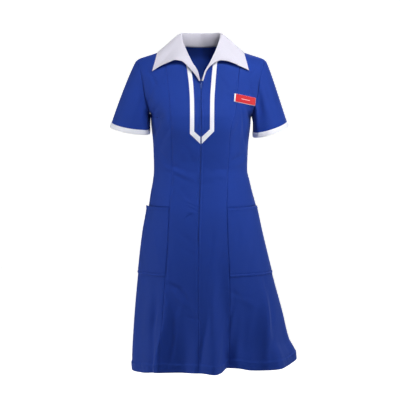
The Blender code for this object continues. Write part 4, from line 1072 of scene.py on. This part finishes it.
# Cloths: name, colour, roughness, rib width, unevenness, sheen, depth of the ribs and of the relief
blue_cloth = cloth_finish("blue_twill", (0.0146, 0.0440, 0.2860), 0.72, 0.0009, 0.16, 0.09, glint=BLUE_GLINT)
blue_thread = cloth_finish("blue_thread", (0.021, 0.053, 0.310), 0.6, 0.0005, 0.1, 0.04, glint=BLUE_GLINT)
zip_weave = cloth_finish("blue_zip_tape", (0.013, 0.030, 0.165), 0.8, 0.0007, 0.1, 0.02, glint=BLUE_GLINT)
white_cloth = cloth_finish("white_cotton", (0.64, 0.625, 0.715), 0.85, 0.0006, 0.05, 0.1, 0.15, 0.0003)
white_tape = cloth_finish("white_tape", (0.85, 0.865, 0.93), 0.85, 0.0007, 0.05, 0.1, 0.3, 0.0002)
white_thread = cloth_finish("white_thread", (0.84, 0.84, 0.90), 0.6, 0.0005, 0.05, 0.1)

# Hard finishes: name, colour, roughness, metal, coat, scratches
blue_metal = hard_finish("blue_enamel", (0.034, 0.066, 0.26), 0.46, 0.30, 0.1, 0.1, BLUE_GLINT)
teeth_plastic = hard_finish("blue_zip_teeth", (0.016, 0.042, 0.24), 0.55, glint=BLUE_GLINT)
badge_white = hard_finish("badge_white_plastic", (0.86, 0.86, 0.90), 0.45)
badge_red = hard_finish("badge_red_plastic", (0.58, 0.006, 0.016), 0.5)
rule_white = hard_finish("badge_rule_white", (0.90, 0.88, 0.88), 0.4)


# Body panels

def dress_panel(name, panel):
    """Both faces of a panel: seams rolled in, hem turned up and seam allowances inside."""
    first, last = panel.from_sides
    nearest = np.minimum(first, last)
    top, above, heights = panel.from_top, panel.above_hem, panel.heights
    opening = (heights > ZIP_END) & bool(panel.zip_side)
    depth = groove(last) + np.where(opening, rounded(first, ZIP_EDGE_ROUND), groove(first))
    depth = depth + np.where(np.abs(panel.points[:1, :, 0]) > NECK_HALF, groove(top), 0)
    depth = depth - pucker(top, nearest) * (above > PUCKER_ABOVE_HEM)
    if panel.zip_side:
        inside = ZIP_STITCH - first
        depth = depth + ZIP_PRESS * (bell(inside, ZIP_PRESS_SPREAD) - ramp(inside, ZIP_PRESS_EDGE))
    if name.startswith("front_side"):
        depth = depth + POCKET_LINE * bell(heights - POCKET_TOP - POCKET_LINE_RISE, POCKET_LINE_SPREAD)
    depth = depth + HEM_STITCH_DIP * bell(above - HEM_STITCH, HEM_STITCH_SPREAD)
    turned = ramp(HEM_TURN_UP + HEM_LAYER_SHIFT - above, HEM_LAYER_FADE)
    slant = panel.u + HEM_ROPING_SLANT * above
    roping = HEM_ROPING * np.sin(slant * HEM_ROPING_WAVE) * ramp(above, HEM_ROPING_START)
    swell = HEM_LAYER * ramp(1 - above / HEM_TURN_UP)
    edge = rounded(above, HEM_CLOTH / 2)
    depth = depth - turned * (HEM_LAYER + roping) + swell + edge
    thick = CLOTH + allowance(nearest) * (above > HEM_TURN_UP)
    thick = np.maximum(thick, CLOTH + (HEM_CLOTH - CLOTH) * turned) + swell - edge
    at_zip = np.minimum(thick, ZIP_EDGE_CLOTH) - rounded(first, ZIP_EDGE_INNER_ROUND)
    thick = np.where(opening, at_zip, thick)
    thick = np.maximum(thick, depth + LEAST_CLOTH)
    sew(name, panel.points, panel.normals, -depth, -thick, blue_cloth, u=panel.u)


panels = {}
for word, side in SIDES.items():
    edges = {"front_centre": (centre_edge(side), princess_seam(word), 32),
             "front_side": (princess_seam(word), side_edge(side, False), 54),
             "back_side": (side_edge(side, True), back_seam(side), 36)}
    for key, (*seams, count) in edges.items():
        zip_side = side if key == "front_centre" else 0
        panels[key + "_" + word] = Panel(*seams[::side], count, back=key == "back_side", zip_side=zip_side)
panels["back_centre"] = Panel(back_seam(1), back_seam(-1), 52, back=True)
for name, panel in panels.items():
    dress_panel(name, panel)

# Hem stitches, the stitches beside the zip, and the bar that ends it

hem_lines = []
for name in ("front_centre_right", "front_centre_left", "front_side_left", "back_side_left", "back_centre",
             "back_side_right", "front_side_right"):
    panel = panels[name]
    row = int(np.argmin(np.abs(panel.above_hem[:, 0] - HEM_STITCH)))
    hem_lines.append((panel.points[row] - panel.normals[row] * HEM_STITCH_SINK, panel.normals[row]))
stitches("hem_stitches", hem_lines, blue_thread)

bar_height = ZIP_END - ZIP_CLOSE
heights = np.linspace(ZIP_STITCH_TOP, bar_height, 220)
zip_lines = [over_cloth(beside_zip(side * ZIP_STITCH, heights), heights) for side in (1, -1)]
zip_lines.append(over_cloth(beside_zip(np.linspace(-ZIP_STITCH, ZIP_STITCH, 20), bar_height), bar_height))
stitches("zip_stitches", zip_lines, blue_thread, length=0.0024, pitch=0.0031)


# Sleeves

class Sleeve:
    """A set-in sleeve, swept from the armhole's edge to the round of its own end."""

    def __init__(self, middle, outward, forward, ring, out):
        round_it = unit(np.roll(ring, -1, axis=0) - np.roll(ring, 1, axis=0))
        hole = unit(np.cross(out, round_it))
        hole *= np.sign(np.sum(hole * (ring.mean(axis=0) - ring), axis=1))[:, None]
        place = arcs(ring, 0)
        length = place[-1] + np.linalg.norm(ring[0] - ring[-1])
        bottom = place[len(ring) // 2]
        self.turn = np.where(place < bottom, place / bottom, 1 + (place - bottom) / (length - bottom))
        turn = self.turn[:, None] * math.pi
        self.ends = np.array(middle) + np.cos(turn) * outward + np.sin(turn) * forward
        reach = self.ends - ring
        lean = np.clip(np.arctan2(np.sum(reach * out, axis=1), np.sum(reach * hole, axis=1)), 0, SLEEVE_LEAN)
        lean[0] = 0
        lean[:3] = np.minimum(lean[:3], lean[3] * np.arange(3) / 3)
        lean[-2:] = np.minimum(lean[-2:], lean[-3] * np.array([2, 1]) / 3)
        lean = lean[:, None]
        leave = hole * np.cos(lean) + out * np.sin(lean)
        self.first_normals = out * np.cos(lean) - hole * np.sin(lean)
        self.starts = ring + SLEEVE_START * leave
        way = self.ends - self.starts
        self.distance = np.linalg.norm(way, axis=1)
        distance = self.distance[:, None]
        axis = unit(np.cross(outward, forward))
        axis = axis * np.sign(-axis[2])
        straight, down = SLEEVE_ARRIVE
        self.leave = leave * np.minimum(SLEEVE_LEAVE, SLEEVE_LEAVE_SHARE * distance)
        self.arrive = (unit(way) * straight + axis * down) * distance

    def grid(self, share):
        """Points with the sleeve's soft folds at shares of the way down, and their directions."""
        here = hermite(share[..., None], self.starts, self.ends, self.leave, self.arrive)
        normals = self.round_normals(here)
        if share[0].max() < 1e-6:
            normals[0] = self.first_normals
        out = np.zeros(share.shape)
        for turn, place, spread, tall, height in SLEEVE_FOLDS:
            out = out + height * bell(self.turn - turn, spread) * bell(share - place, tall)
        here = raised(here, normals, out * ramp(share, 0.15))
        folded = self.round_normals(here)
        folded[0] = normals[0]
        return here, folded

    def round_normals(self, here):
        round_it = np.roll(here, -1, axis=1) - np.roll(here, 1, axis=1)
        out = unit(np.cross(round_it, np.gradient(here, axis=0)))
        middle = np.mean(here, axis=1, keepdims=True)
        return out * np.sign(np.sum(out * (here - middle), axis=(1, 2)))[:, None, None]


def armhole_ring(front, back, side):
    """The armhole's edge from the shoulder down the front and up the back, with its directions."""
    rows = slice(0, len(TOP_STEPS) + UPPER_ROWS)
    front_column, back_column = (-1, 0)[::side]
    rings = []
    for in_front, behind in ((front.points, back.points), (front.normals, back.normals)):
        a, b = in_front[rows, front_column], behind[rows, back_column]
        ring = np.concatenate([a[:-1], b[:0:-1]])
        ring[0] = (a[0] + b[0]) / 2
        ring[len(a) - 1] = (a[-1] + b[-1]) / 2
        rings.append(np.concatenate([ring[:1], ring[4:-3]]))
    return rings[0], unit(rings[1])


band_lines = []
for word, (middle, outward, forward) in SLEEVES.items():
    ring, out = armhole_ring(panels["front_side_" + word], panels["back_side_" + word], SIDES[word])
    sleeve = Sleeve(middle, outward, forward, ring, out)
    points, normals = sleeve.grid(np.repeat(SLEEVE_STEPS[:, None], len(ring), axis=1))
    down = arcs(points, 0)
    edge = rounded(down[-1:] - down, SLEEVE_END_ROUND)
    depth = groove(down) - pucker(sleeve.turn * 0.25, down) + edge
    thick = CLOTH + allowance(down) - edge
    sew("sleeve_" + word, points, normals, -depth, -thick, blue_cloth, closed=True)

    points, normals = sleeve.grid(1 - (BAND_WIDTH - BAND_STEPS) / sleeve.distance)
    edge = sum(rounded(steps, EDGE_ROUND["band"]) for steps in (BAND_STEPS, BAND_WIDTH - BAND_STEPS))
    wave = BAND_WAVE * np.sin(sleeve.turn * 61) * bell(BAND_STEPS - 0.006, 0.005)
    dip = BAND_STITCH_DIP * bell(BAND_STEPS - BAND_STITCH, STITCH_DIP_SPREAD)
    lift = TAPE_CLOTH + SEAM - edge - dip + wave
    outer = sew("sleeve_band_" + word, points, normals, lift, 0.0001 + 0.3 * edge, white_tape,
                closed=True, v=np.repeat(-BAND_STEPS, len(ring) + 1, axis=1))
    band_lines.append((closing(outer)[BAND_STITCH_ROW], closing(normals)[BAND_STITCH_ROW]))
stitches("band_stitches", band_lines, white_thread, **WHITE_STITCH)


# Collar

def clear_of_body(points, clear):
    """Move points out until they stand this far off the outer face of the dress."""
    def inside(place):
        across, along, height = np.moveaxis(place, -1, 0)
        power = BODY["squareness"](height)
        share = np.clip(np.abs(across) / half_width(height, across), 0, CLEAR_WIDTH)
        rest = (1 - share ** power) ** (1 / power)
        fall = np.clip((top_of(across) - height) / SHOULDER_ROLL, -1, 1)
        middle = BODY["middle"](height)
        depth = np.where(along < middle, BODY["front_depth"](height), BODY["back_depth"](height))
        return ((along - middle) / (depth * rest)) ** 2 + (1 - fall) ** 2 - 1

    step = 1e-4
    moved = points.copy()
    for _ in range(CLEAR_ROUNDS):
        slope = np.stack([inside(moved + step * axis) - inside(moved - step * axis) for axis in np.eye(3)],
                         axis=-1) / (2 * step)
        steep = np.maximum(np.linalg.norm(slope, axis=-1), 1e-6)
        short = np.clip(clear - inside(moved) / steep, 0, CLEAR_LIMIT)
        moved = raised(moved, slope / steep[..., None], short)
    return moved


def neck_edge(word):
    """The neckline on one side from the front middle: turns round the neck, points, directions."""
    pieces = []
    for panel, behind in ((panels["front_centre_" + word], False), (panels["back_centre"], True)):
        x = panel.points[0, :, 0] * SIDES[word]
        inside = (x < NECK_HALF + 0.002) & ((x > -1e-9) | (not behind))
        turn = np.degrees(np.arcsin(ramp(x[inside] / NECK_HALF)))
        turn = 180 - turn if behind else turn
        order = np.argsort(turn)
        pieces.append([values[order] for values in (turn, panel.points[0, inside], panel.normals[0, inside])])
    return [np.concatenate(column) for column in zip(*pieces)]


def collar_half(word):
    """Lines of points from the neck seam up the stand, over the roll and down to the edge."""
    places = COLLAR_PLACES
    turns, neck_points, neck_normals = neck_edge(word)
    mirror = np.array([SIDES[word], 1, 1])
    columns = table(COLLAR_COLUMNS, COLLAR)
    to_tip = table(COLLAR_COLUMNS, [row for row in COLLAR if row[0] <= COLLAR_TIP])
    past_tip = table(COLLAR_COLUMNS, [row for row in COLLAR if row[0] >= COLLAR_TIP])
    roll = np.stack([columns["roll_" + axis](places) for axis in "xyz"], axis=-1)
    edge = np.stack([np.where(places <= COLLAR_TIP, to_tip[name](places), past_tip[name](places))
                     for name in (word + "_x", word + "_y", word + "_z")], axis=-1)
    turn = columns["seam_turn"](places)
    seam = sampled(turn, turns, neck_points) * mirror
    out = unit(sampled(turn, turns, neck_normals)) * mirror
    rise = np.cross(unit(np.gradient(seam, axis=0)), out)
    inward = np.array([*NECK_MIDDLE, NECK_LEAN]) - seam * np.array([1, 1, 0])
    rise = unit(rise * np.sign(np.sum(rise * inward, axis=1))[:, None])
    seam = seam - out * CLOTH / 2 + rise * SEAM
    round_roll = unit(np.gradient(roll, axis=0))
    over = edge - seam
    over = unit(over - round_roll * np.sum(over * round_roll, axis=1)[:, None])
    stand = np.linalg.norm(roll - seam, axis=1, keepdims=True)
    fall = np.linalg.norm(edge - roll, axis=1, keepdims=True)
    roll_fullness, edge_fullness = COLLAR_FULLNESS
    over = over * np.minimum(stand, fall) * roll_fullness
    edge = clear_of_body(edge, COLLAR_CLEAR)
    up = hermite(STAND_STEPS[:, None, None], seam, roll, rise * stand, over)
    down = hermite(FALL_STEPS[:, None, None], roll, edge, over, (edge - roll) * edge_fullness)
    down[1:] = clear_of_body(down[1:], COLLAR_CLEAR)
    return np.concatenate([up, down]).swapaxes(0, 1) * mirror, out * mirror


left, left_out = collar_half("left")
right, right_out = collar_half("right")
lines = np.concatenate([right[:-1], (left[-1:] + right[-1:]) / 2, left[-2::-1]])
normals = unit(np.cross(np.gradient(lines, axis=1), np.gradient(lines, axis=0)))
out = np.concatenate([right_out, left_out[-2::-1]])
normals[:, 0] = out * np.sign(np.sum(out * normals[:, 0], axis=1))[:, None]
up_line, along = arcs(lines, 1), arcs(lines, 0)
from_edge = up_line[:, -1:] - up_line
reach = np.minimum(from_edge, np.minimum(along, along[-1:] - along))
half = COLLAR_CLOTH / 2
slim = np.maximum(half - rounded(reach, half), COLLAR_EDGE)
face = np.maximum(slim - COLLAR_STITCH_DIP * bell(reach - COLLAR_STITCH, 0.0009), LEAST_CLOTH)
sew("collar", lines, normals, face, -slim, white_cloth,
    u=-from_edge, v=along[:, :1] + 0 * up_line)

# Stitches along the collar's edge, where it is wide enough

edge_line, edge_out = [], []
for k in range(4, len(lines) - 4):
    if up_line[k, -1] - up_line[k, len(STAND_STEPS)] < COLLAR_STITCH_ROOM:
        continue
    last = lines.shape[1] - 1
    at = np.interp(COLLAR_STITCH, from_edge[k, ::-1], np.arange(last, -1, -1))
    low = int(min(at, last - 1))
    here = lines[k, low] + (lines[k, low + 1] - lines[k, low]) * (at - low)
    edge_line.append(here + normals[k, low] * (half - STITCH_SINK))
    edge_out.append(normals[k, low])
stitches("collar_stitches", [(np.array(edge_line), np.array(edge_out))], white_thread, **WHITE_STITCH)


# Tapes round the zip

def make_placket_tape(word):
    """A white tape down one side of the zip, which turns at a corner to meet the other at a point."""
    side = SIDES[word]
    edges = []
    corners = TAPE_TOPS[word], TAPE_CORNERS[word], TAPE_POINT, (0, side * TAPE_WIDTH)
    for top, corner, end, width in zip(*corners):
        heights = np.linspace(top, corner, 72)
        leg = np.stack([TAPE_EDGE[word](heights) + width, heights], axis=-1)
        slant = np.linspace(leg[-1], np.array([side * TAPE_POINT_HALF, end]), 16)[1:]
        edges.append(np.concatenate([leg, slant])[:, None])
    shares = np.concatenate([TAPE_STEPS, [0.5], 1 - TAPE_STEPS[::-1]])[None, :, None]
    place = edges[0] * (1 - shares) + edges[1] * shares
    points, normals = over_cloth(angle_at(place[..., 0], place[..., 1]), place[..., 1])
    across, down = arcs(points, 1), arcs(points, 0)
    edge = np.minimum(across, across[:, -1:] - across)
    fall = rounded(np.minimum(edge, np.minimum(down, down[-1:] - down)), EDGE_ROUND["tape"])
    wave = TAPE_WAVE * np.sin(down * 420 + side) * ramp(edge, 0.002)
    dip = TAPE_STITCH_DIP * bell(edge - TAPE_STITCH, STITCH_DIP_SPREAD)
    lift = TAPE_LIFT + TAPE_CLOTH - fall - dip + wave
    outer = sew("placket_tape_" + word, points, normals, lift, 0.00005 + 0.2 * fall, white_tape)
    return [(outer[2:-2, column], normals[2:-2, column]) for column in (4, -5)]


tape_lines = make_placket_tape("left") + make_placket_tape("right")
stitches("tape_stitches", tape_lines, white_thread, **WHITE_STITCH)


# Pockets

def make_pocket(word):
    """A patch pocket over the side panel, open and a little slack along its top."""
    side = SIDES[word]
    panel = panels["front_side_" + word]
    coarse = np.linspace(0, 1, 60)
    heights = (POCKET_TOP - POCKET_DROPS)[:, None]
    width = arcs(plain_surface(panel.angle(coarse[None], heights), heights), 1)
    total = width[:, -1:]
    first, last = (POCKET_INSET, 0.0)[::side]
    place = columns_between(total, first + POCKET_EDGE_STEPS, last + POCKET_EDGE_STEPS, 38)
    angle = panel.angle(shares_at(place, width, coarse), heights)
    heights = np.broadcast_to(heights, angle.shape)
    points, normals = over_cloth(angle, heights)
    drop = POCKET_TOP - heights
    low = POCKET_DEPTH - drop
    slack = np.sin(math.pi * ramp(place / total)) * ramp(1 - drop / POCKET_GAPE_DEPTH) ** 2
    under = POCKET_UNDER + POCKET_GAPE * slack
    if side < 0:
        wide, tall = POCKET_CORNER_REACH
        under = under + POCKET_CORNER_OUT * ramp(1 - place / wide) ** 2 * ramp(1 - drop / tall) ** 1.5
    for row in POCKET_CREASES:
        under = under + crease(points, row, bend=0)
    edge = np.minimum(place - first, total - last - place)
    fall = rounded(np.minimum(edge, np.minimum(drop, low)), EDGE_ROUND["pocket"])
    thick = CLOTH + (POCKET_BAND_CLOTH - CLOTH) * ramp(POCKET_BAND - drop, 0.0008)
    top_dip, low_dip = POCKET_DIPS
    low_puff, top_puff = POCKET_PUFFS
    dips = top_dip * bell(drop - POCKET_TOP_STITCH, 0.0010) + low_dip * bell(low - 0.0078, 0.0014)
    puff = low_puff * bell(low - 0.0040, 0.0022) + top_puff * bell(drop - 0.0050, 0.0028)
    ripple = POCKET_RIPPLE * np.sin(place * 330 + 2 * np.sin(place * 60))
    ripple = ripple * (bell(low, 0.02) + bell(drop, 0.02))
    outer = sew("pocket_" + word, points, normals, under + thick - fall - dips + puff + ripple,
                np.maximum(under + 0.2 * fall, 0.0001), blue_cloth,
                u=centred(arcs(points, 1)))
    top_row, low_row = (int(np.argmin(np.abs(POCKET_DROPS - level)))
                        for level in (POCKET_TOP_STITCH, POCKET_DEPTH - POCKET_LOW_STITCH))
    inner = slice(3, -3)
    lines = ((top_row, inner), (low_row, inner), (inner, (4, -5)[::side][0]))
    return [(outer[line], normals[line]) for line in lines]


stitches("pocket_stitches", make_pocket("left") + make_pocket("right"), blue_thread)

# Zip tapes, behind the edges of the front opening

for word, side in SIDES.items():
    heights = np.linspace(ZIP_TAPE_TOP, ZIP_TAPE_END, 130)[:, None]
    angle = beside_zip(side * ZIP_TAPE_STEPS, heights)
    heights = np.broadcast_to(heights, angle.shape)
    points, normals = over_cloth(angle, heights)
    behind = CLOTH + ZIP_TAPE_BEHIND + ZIP_TAPE_RIPPLE * np.sin(heights * 900)
    sew("zip_tape_" + word, points, normals, -behind, -behind - ZIP_TAPE_CLOTH, zip_weave)


# Slider and pull tab

def plain_cloth(angle, height):
    """The dress with its folds and no creases."""
    normal = normal_of(held_surface, angle, height)
    return raised(held_surface(angle, height), normal, fold_out(angle, height))


slider_angle = angle_at(0.0, SLIDER_HEIGHT)
slider_place = plain_cloth(slider_angle, SLIDER_HEIGHT)
slider_out = unit(normal_of(plain_cloth, slider_angle, SLIDER_HEIGHT) * (0, 1, 1))
slider_axes = np.array([[1.0, 0.0, 0.0], np.cross(slider_out, [1.0, 0.0, 0.0]), slider_out])

half_wide, half_tall = SLIDER_PLATE_HALF
plates = (("slider_plate", -SLIDER_PLATE, 0.0006), ("slider_rear", SLIDER_REAR, 0.0004))
parts = [block(name, (-half_wide, half_wide), (-half_tall, half_tall), (low, low + SLIDER_PLATE), bevel, 3)
         for name, low, bevel in plates]
for part in parts:
    for vertex in part.data.vertices:
        vertex.co.x *= 1 - (1 - SLIDER_TAPER) * ramp(half_tall - vertex.co.y, 2 * half_tall)
parts.append(block("slider_post", (-POST_HALF, POST_HALF), POST_SPAN, (SLIDER_REAR, 0), 0.0002))
bridge_half = (-BRIDGE_HALF, BRIDGE_HALF)
for span in ((BRIDGE_INNER, BRIDGE_OUTER), (-BRIDGE_OUTER, -BRIDGE_INNER)):
    parts.append(block("slider_foot", bridge_half, span, (-OVERLAP, BRIDGE_TOP - OVERLAP / 2), 0.0002))
parts.append(block("slider_bridge", bridge_half, (-BRIDGE_OUTER - OVERLAP, BRIDGE_OUTER + OVERLAP),
                   (BRIDGE_UNDER, BRIDGE_TOP), 0.0004, 3))
slider = join(parts, "zip_slider_shape")
settle(slider, slider_place, slider_axes, "zip_slider", DRESS, blue_metal)

pull_down = np.array([0, -math.cos(PULL_TILT), math.sin(PULL_TILT)]) @ slider_axes
pull_out = np.array([0, math.sin(PULL_TILT), math.cos(PULL_TILT)]) @ slider_axes
pivot = slider_place + np.array([0, *PULL_AXIS]) @ slider_axes
thick = PULL_HALF_THICK
leg_thick = thick * 0.9
parts = [block("pull_tab", (-PULL_HALF, PULL_HALF), (PULL_HOLE, PULL_LENGTH), (-thick, thick), 0.00035, 3)]
for span in ((PULL_HALF - PULL_LEG, PULL_HALF), (-PULL_HALF, -PULL_HALF + PULL_LEG)):
    parts.append(block("pull_leg", span, (0, PULL_HOLE + 0.0005), (-leg_thick, leg_thick), 0.00025))
parts.append(block("pull_grip", *GRIP, 0.0002))
parts.append(primitive(bpy.ops.mesh.primitive_cylinder_add, "pull_bar", vertices=20, radius=PULL_BAR,
                       depth=2 * PULL_HALF, rotation=(0, math.pi / 2, 0)))
bpy.ops.object.transform_apply(rotation=True)
pull = join(parts, "zip_pull_shape")
settle(pull, pivot, [slider_axes[0], pull_down, pull_out], "zip_pull", "zip_pull", blue_metal)

# Teeth, which lie to the left and right of the middle in turn

tooth = shape_of(block("tooth", *TOOTH, 0.0002, 1))
heights = np.arange(TEETH_TOP, ZIP_END, -TOOTH_PITCH)
aside = np.where(np.arange(len(heights)) % 2 == 0, TOOTH_ASIDE, -TOOTH_ASIDE)
points, out = over_cloth(beside_zip(aside, heights), heights)
ahead = unit(np.array([1.0, 0.0, 0.0]) - out * out[:, :1])
teeth = repeat("zip_teeth", tooth, points - out * (CLOTH + TOOTH_BEHIND), ahead, out)
teeth.data.set_sharp_from_angle(angle=math.radians(30))
teeth.data.materials.append(teeth_plastic)
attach(teeth, DRESS)

# Badge

level = unit(np.cross((0, 0, 1), BADGE_OUT))
rise = np.cross(BADGE_OUT, level)
badge_axes = np.array([level * math.cos(BADGE_TURN) - rise * math.sin(BADGE_TURN),
                       rise * math.cos(BADGE_TURN) + level * math.sin(BADGE_TURN), BADGE_OUT])
badge_place = BADGE_POINT - np.array([0, BADGE_LIFT, 0])
half, tall = BADGE_SIZE[0] / 2, BADGE_SIZE[1] / 2
front = SEAM + BADGE_PLATE
plate = block("badge_plate_shape", (-half, half), (-tall, tall), (SEAM, front), 0.0005, 3)
settle(plate, badge_place, badge_axes, "badge_plate", DRESS, badge_white)
top = front + SEAM + BADGE_FACE
face = block("badge_face_shape", (-half + BADGE_END_MARGIN, half - BADGE_MARGIN),
             (-tall + BADGE_MARGIN, tall - BADGE_MARGIN / 2), (front - OVERLAP, top), 0.0003, 3)
settle(face, badge_place, badge_axes, "badge_face", DRESS, badge_red)
rule = block("badge_rule", RULE_ENDS, (-RULE_HALF, RULE_HALF), (top - RULE_DEEP, top + RULE_RISE), 0.00008, 1)
settle(rule, badge_place, badge_axes, None, DRESS, rule_white)


# Floor, backdrop, light and camera

FLOOR = -1.45
STAGE_SIZE = 24
BACKDROP_BEHIND = 7
BACKDROP_RISE = 6
STAGE_COLOUR = (0.8, 0.8, 0.8, 1)
STAGE_GLOW = 0.95
SURROUND = 0.06


def stage_plane(name, location, rotation):
    """A pale sheet that shows white to the camera but throws little light on the dress."""
    material, tree, shader = new_material("pale_" + name)
    seen = tree.nodes.new("ShaderNodeLightPath").outputs["Is Camera Ray"]
    feed(tree, shader, {"Base Color": STAGE_COLOUR, "Roughness": 0.9, "Emission Strength": STAGE_GLOW,
                        "Emission Color": seen})
    plane = primitive(bpy.ops.mesh.primitive_plane_add, name, size=STAGE_SIZE, location=location,
                      rotation=rotation)
    plane.data.materials.append(material)
    return plane


floor = stage_plane("floor", (0, 0, FLOOR), (0, 0, 0))
backdrop = stage_plane("backdrop", (0, BACKDROP_BEHIND, FLOOR + BACKDROP_RISE), (math.pi / 2, 0, 0))

world = bpy.data.worlds.new("studio")
bpy.context.scene.world = world
world.use_nodes = True
surround = world.node_tree
seen = surround.nodes.new("ShaderNodeLightPath").outputs["Is Camera Ray"]
feed(surround, surround.nodes["Background"], {"Strength": math_node(surround, "MAXIMUM", seen, SURROUND),
                                              "Color": (1.0, 1.0, 1.0, 1)})

# Lights: name, place, what it faces, width and height, power, spread in degrees
LIGHTS = (
    ("key", (0.36, -0.90, 0.80), (0, 0, -0.12), (0.6, 0.5), 17.2, 180),
    ("front", (0.42, -1.30, 0.25), (0, 0, -0.25), (0.6, 0.5), 1.4, 180),
    ("waist", (0.40, -1.50, -0.60), (0.06, 0, -0.31), (0.5, 0.4), 0.17, 26),
    ("left", (-2.2, -0.35, -0.30), (0, 0, -0.45), (0.8, 1.6), 25.0, 180),
    ("right", (2.2, -0.35, -0.30), (0, 0, -0.45), (0.8, 1.6), 16.0, 180),
    ("top", (0.0, 0.2, 2.00), (0, 0, -0.20), (1.6, 1.2), 0.8, 180),
    ("back", (0.6, 2.6, 0.80), (0, 0, -0.40), (1.8, 1.8), 50.0, 180),
)


def aimed(name, data, place, way):
    """A light or camera at a place, looking along a way."""
    thing = link(name, data)
    thing.location = place
    thing.rotation_euler = way.to_track_quat("-Z", "Y").to_euler()
    return thing


for name, place, target, size, power, spread in LIGHTS:
    light = bpy.data.lights.new(name, "AREA")
    light.shape = "RECTANGLE"
    light.size, light.size_y = size
    light.energy = power
    light.spread = math.radians(spread)
    aimed(name, light, place, Vector(target) - Vector(place))
bpy.context.scene.view_settings.view_transform = "Standard"

CAMERA_TARGET = Vector((-0.003, 0.0, -0.462))
CAMERA_DISTANCE = 6.0
CAMERA_RISE = math.radians(4.5)
CAMERA_LENS = 180
CAMERA_SENSOR = 36
away = Vector((0, -math.cos(CAMERA_RISE), math.sin(CAMERA_RISE)))
camera = bpy.data.cameras.new("camera")
camera.lens = CAMERA_LENS
camera.sensor_width = CAMERA_SENSOR
bpy.context.scene.camera = aimed("camera", camera, CAMERA_TARGET + away * CAMERA_DISTANCE, -away)
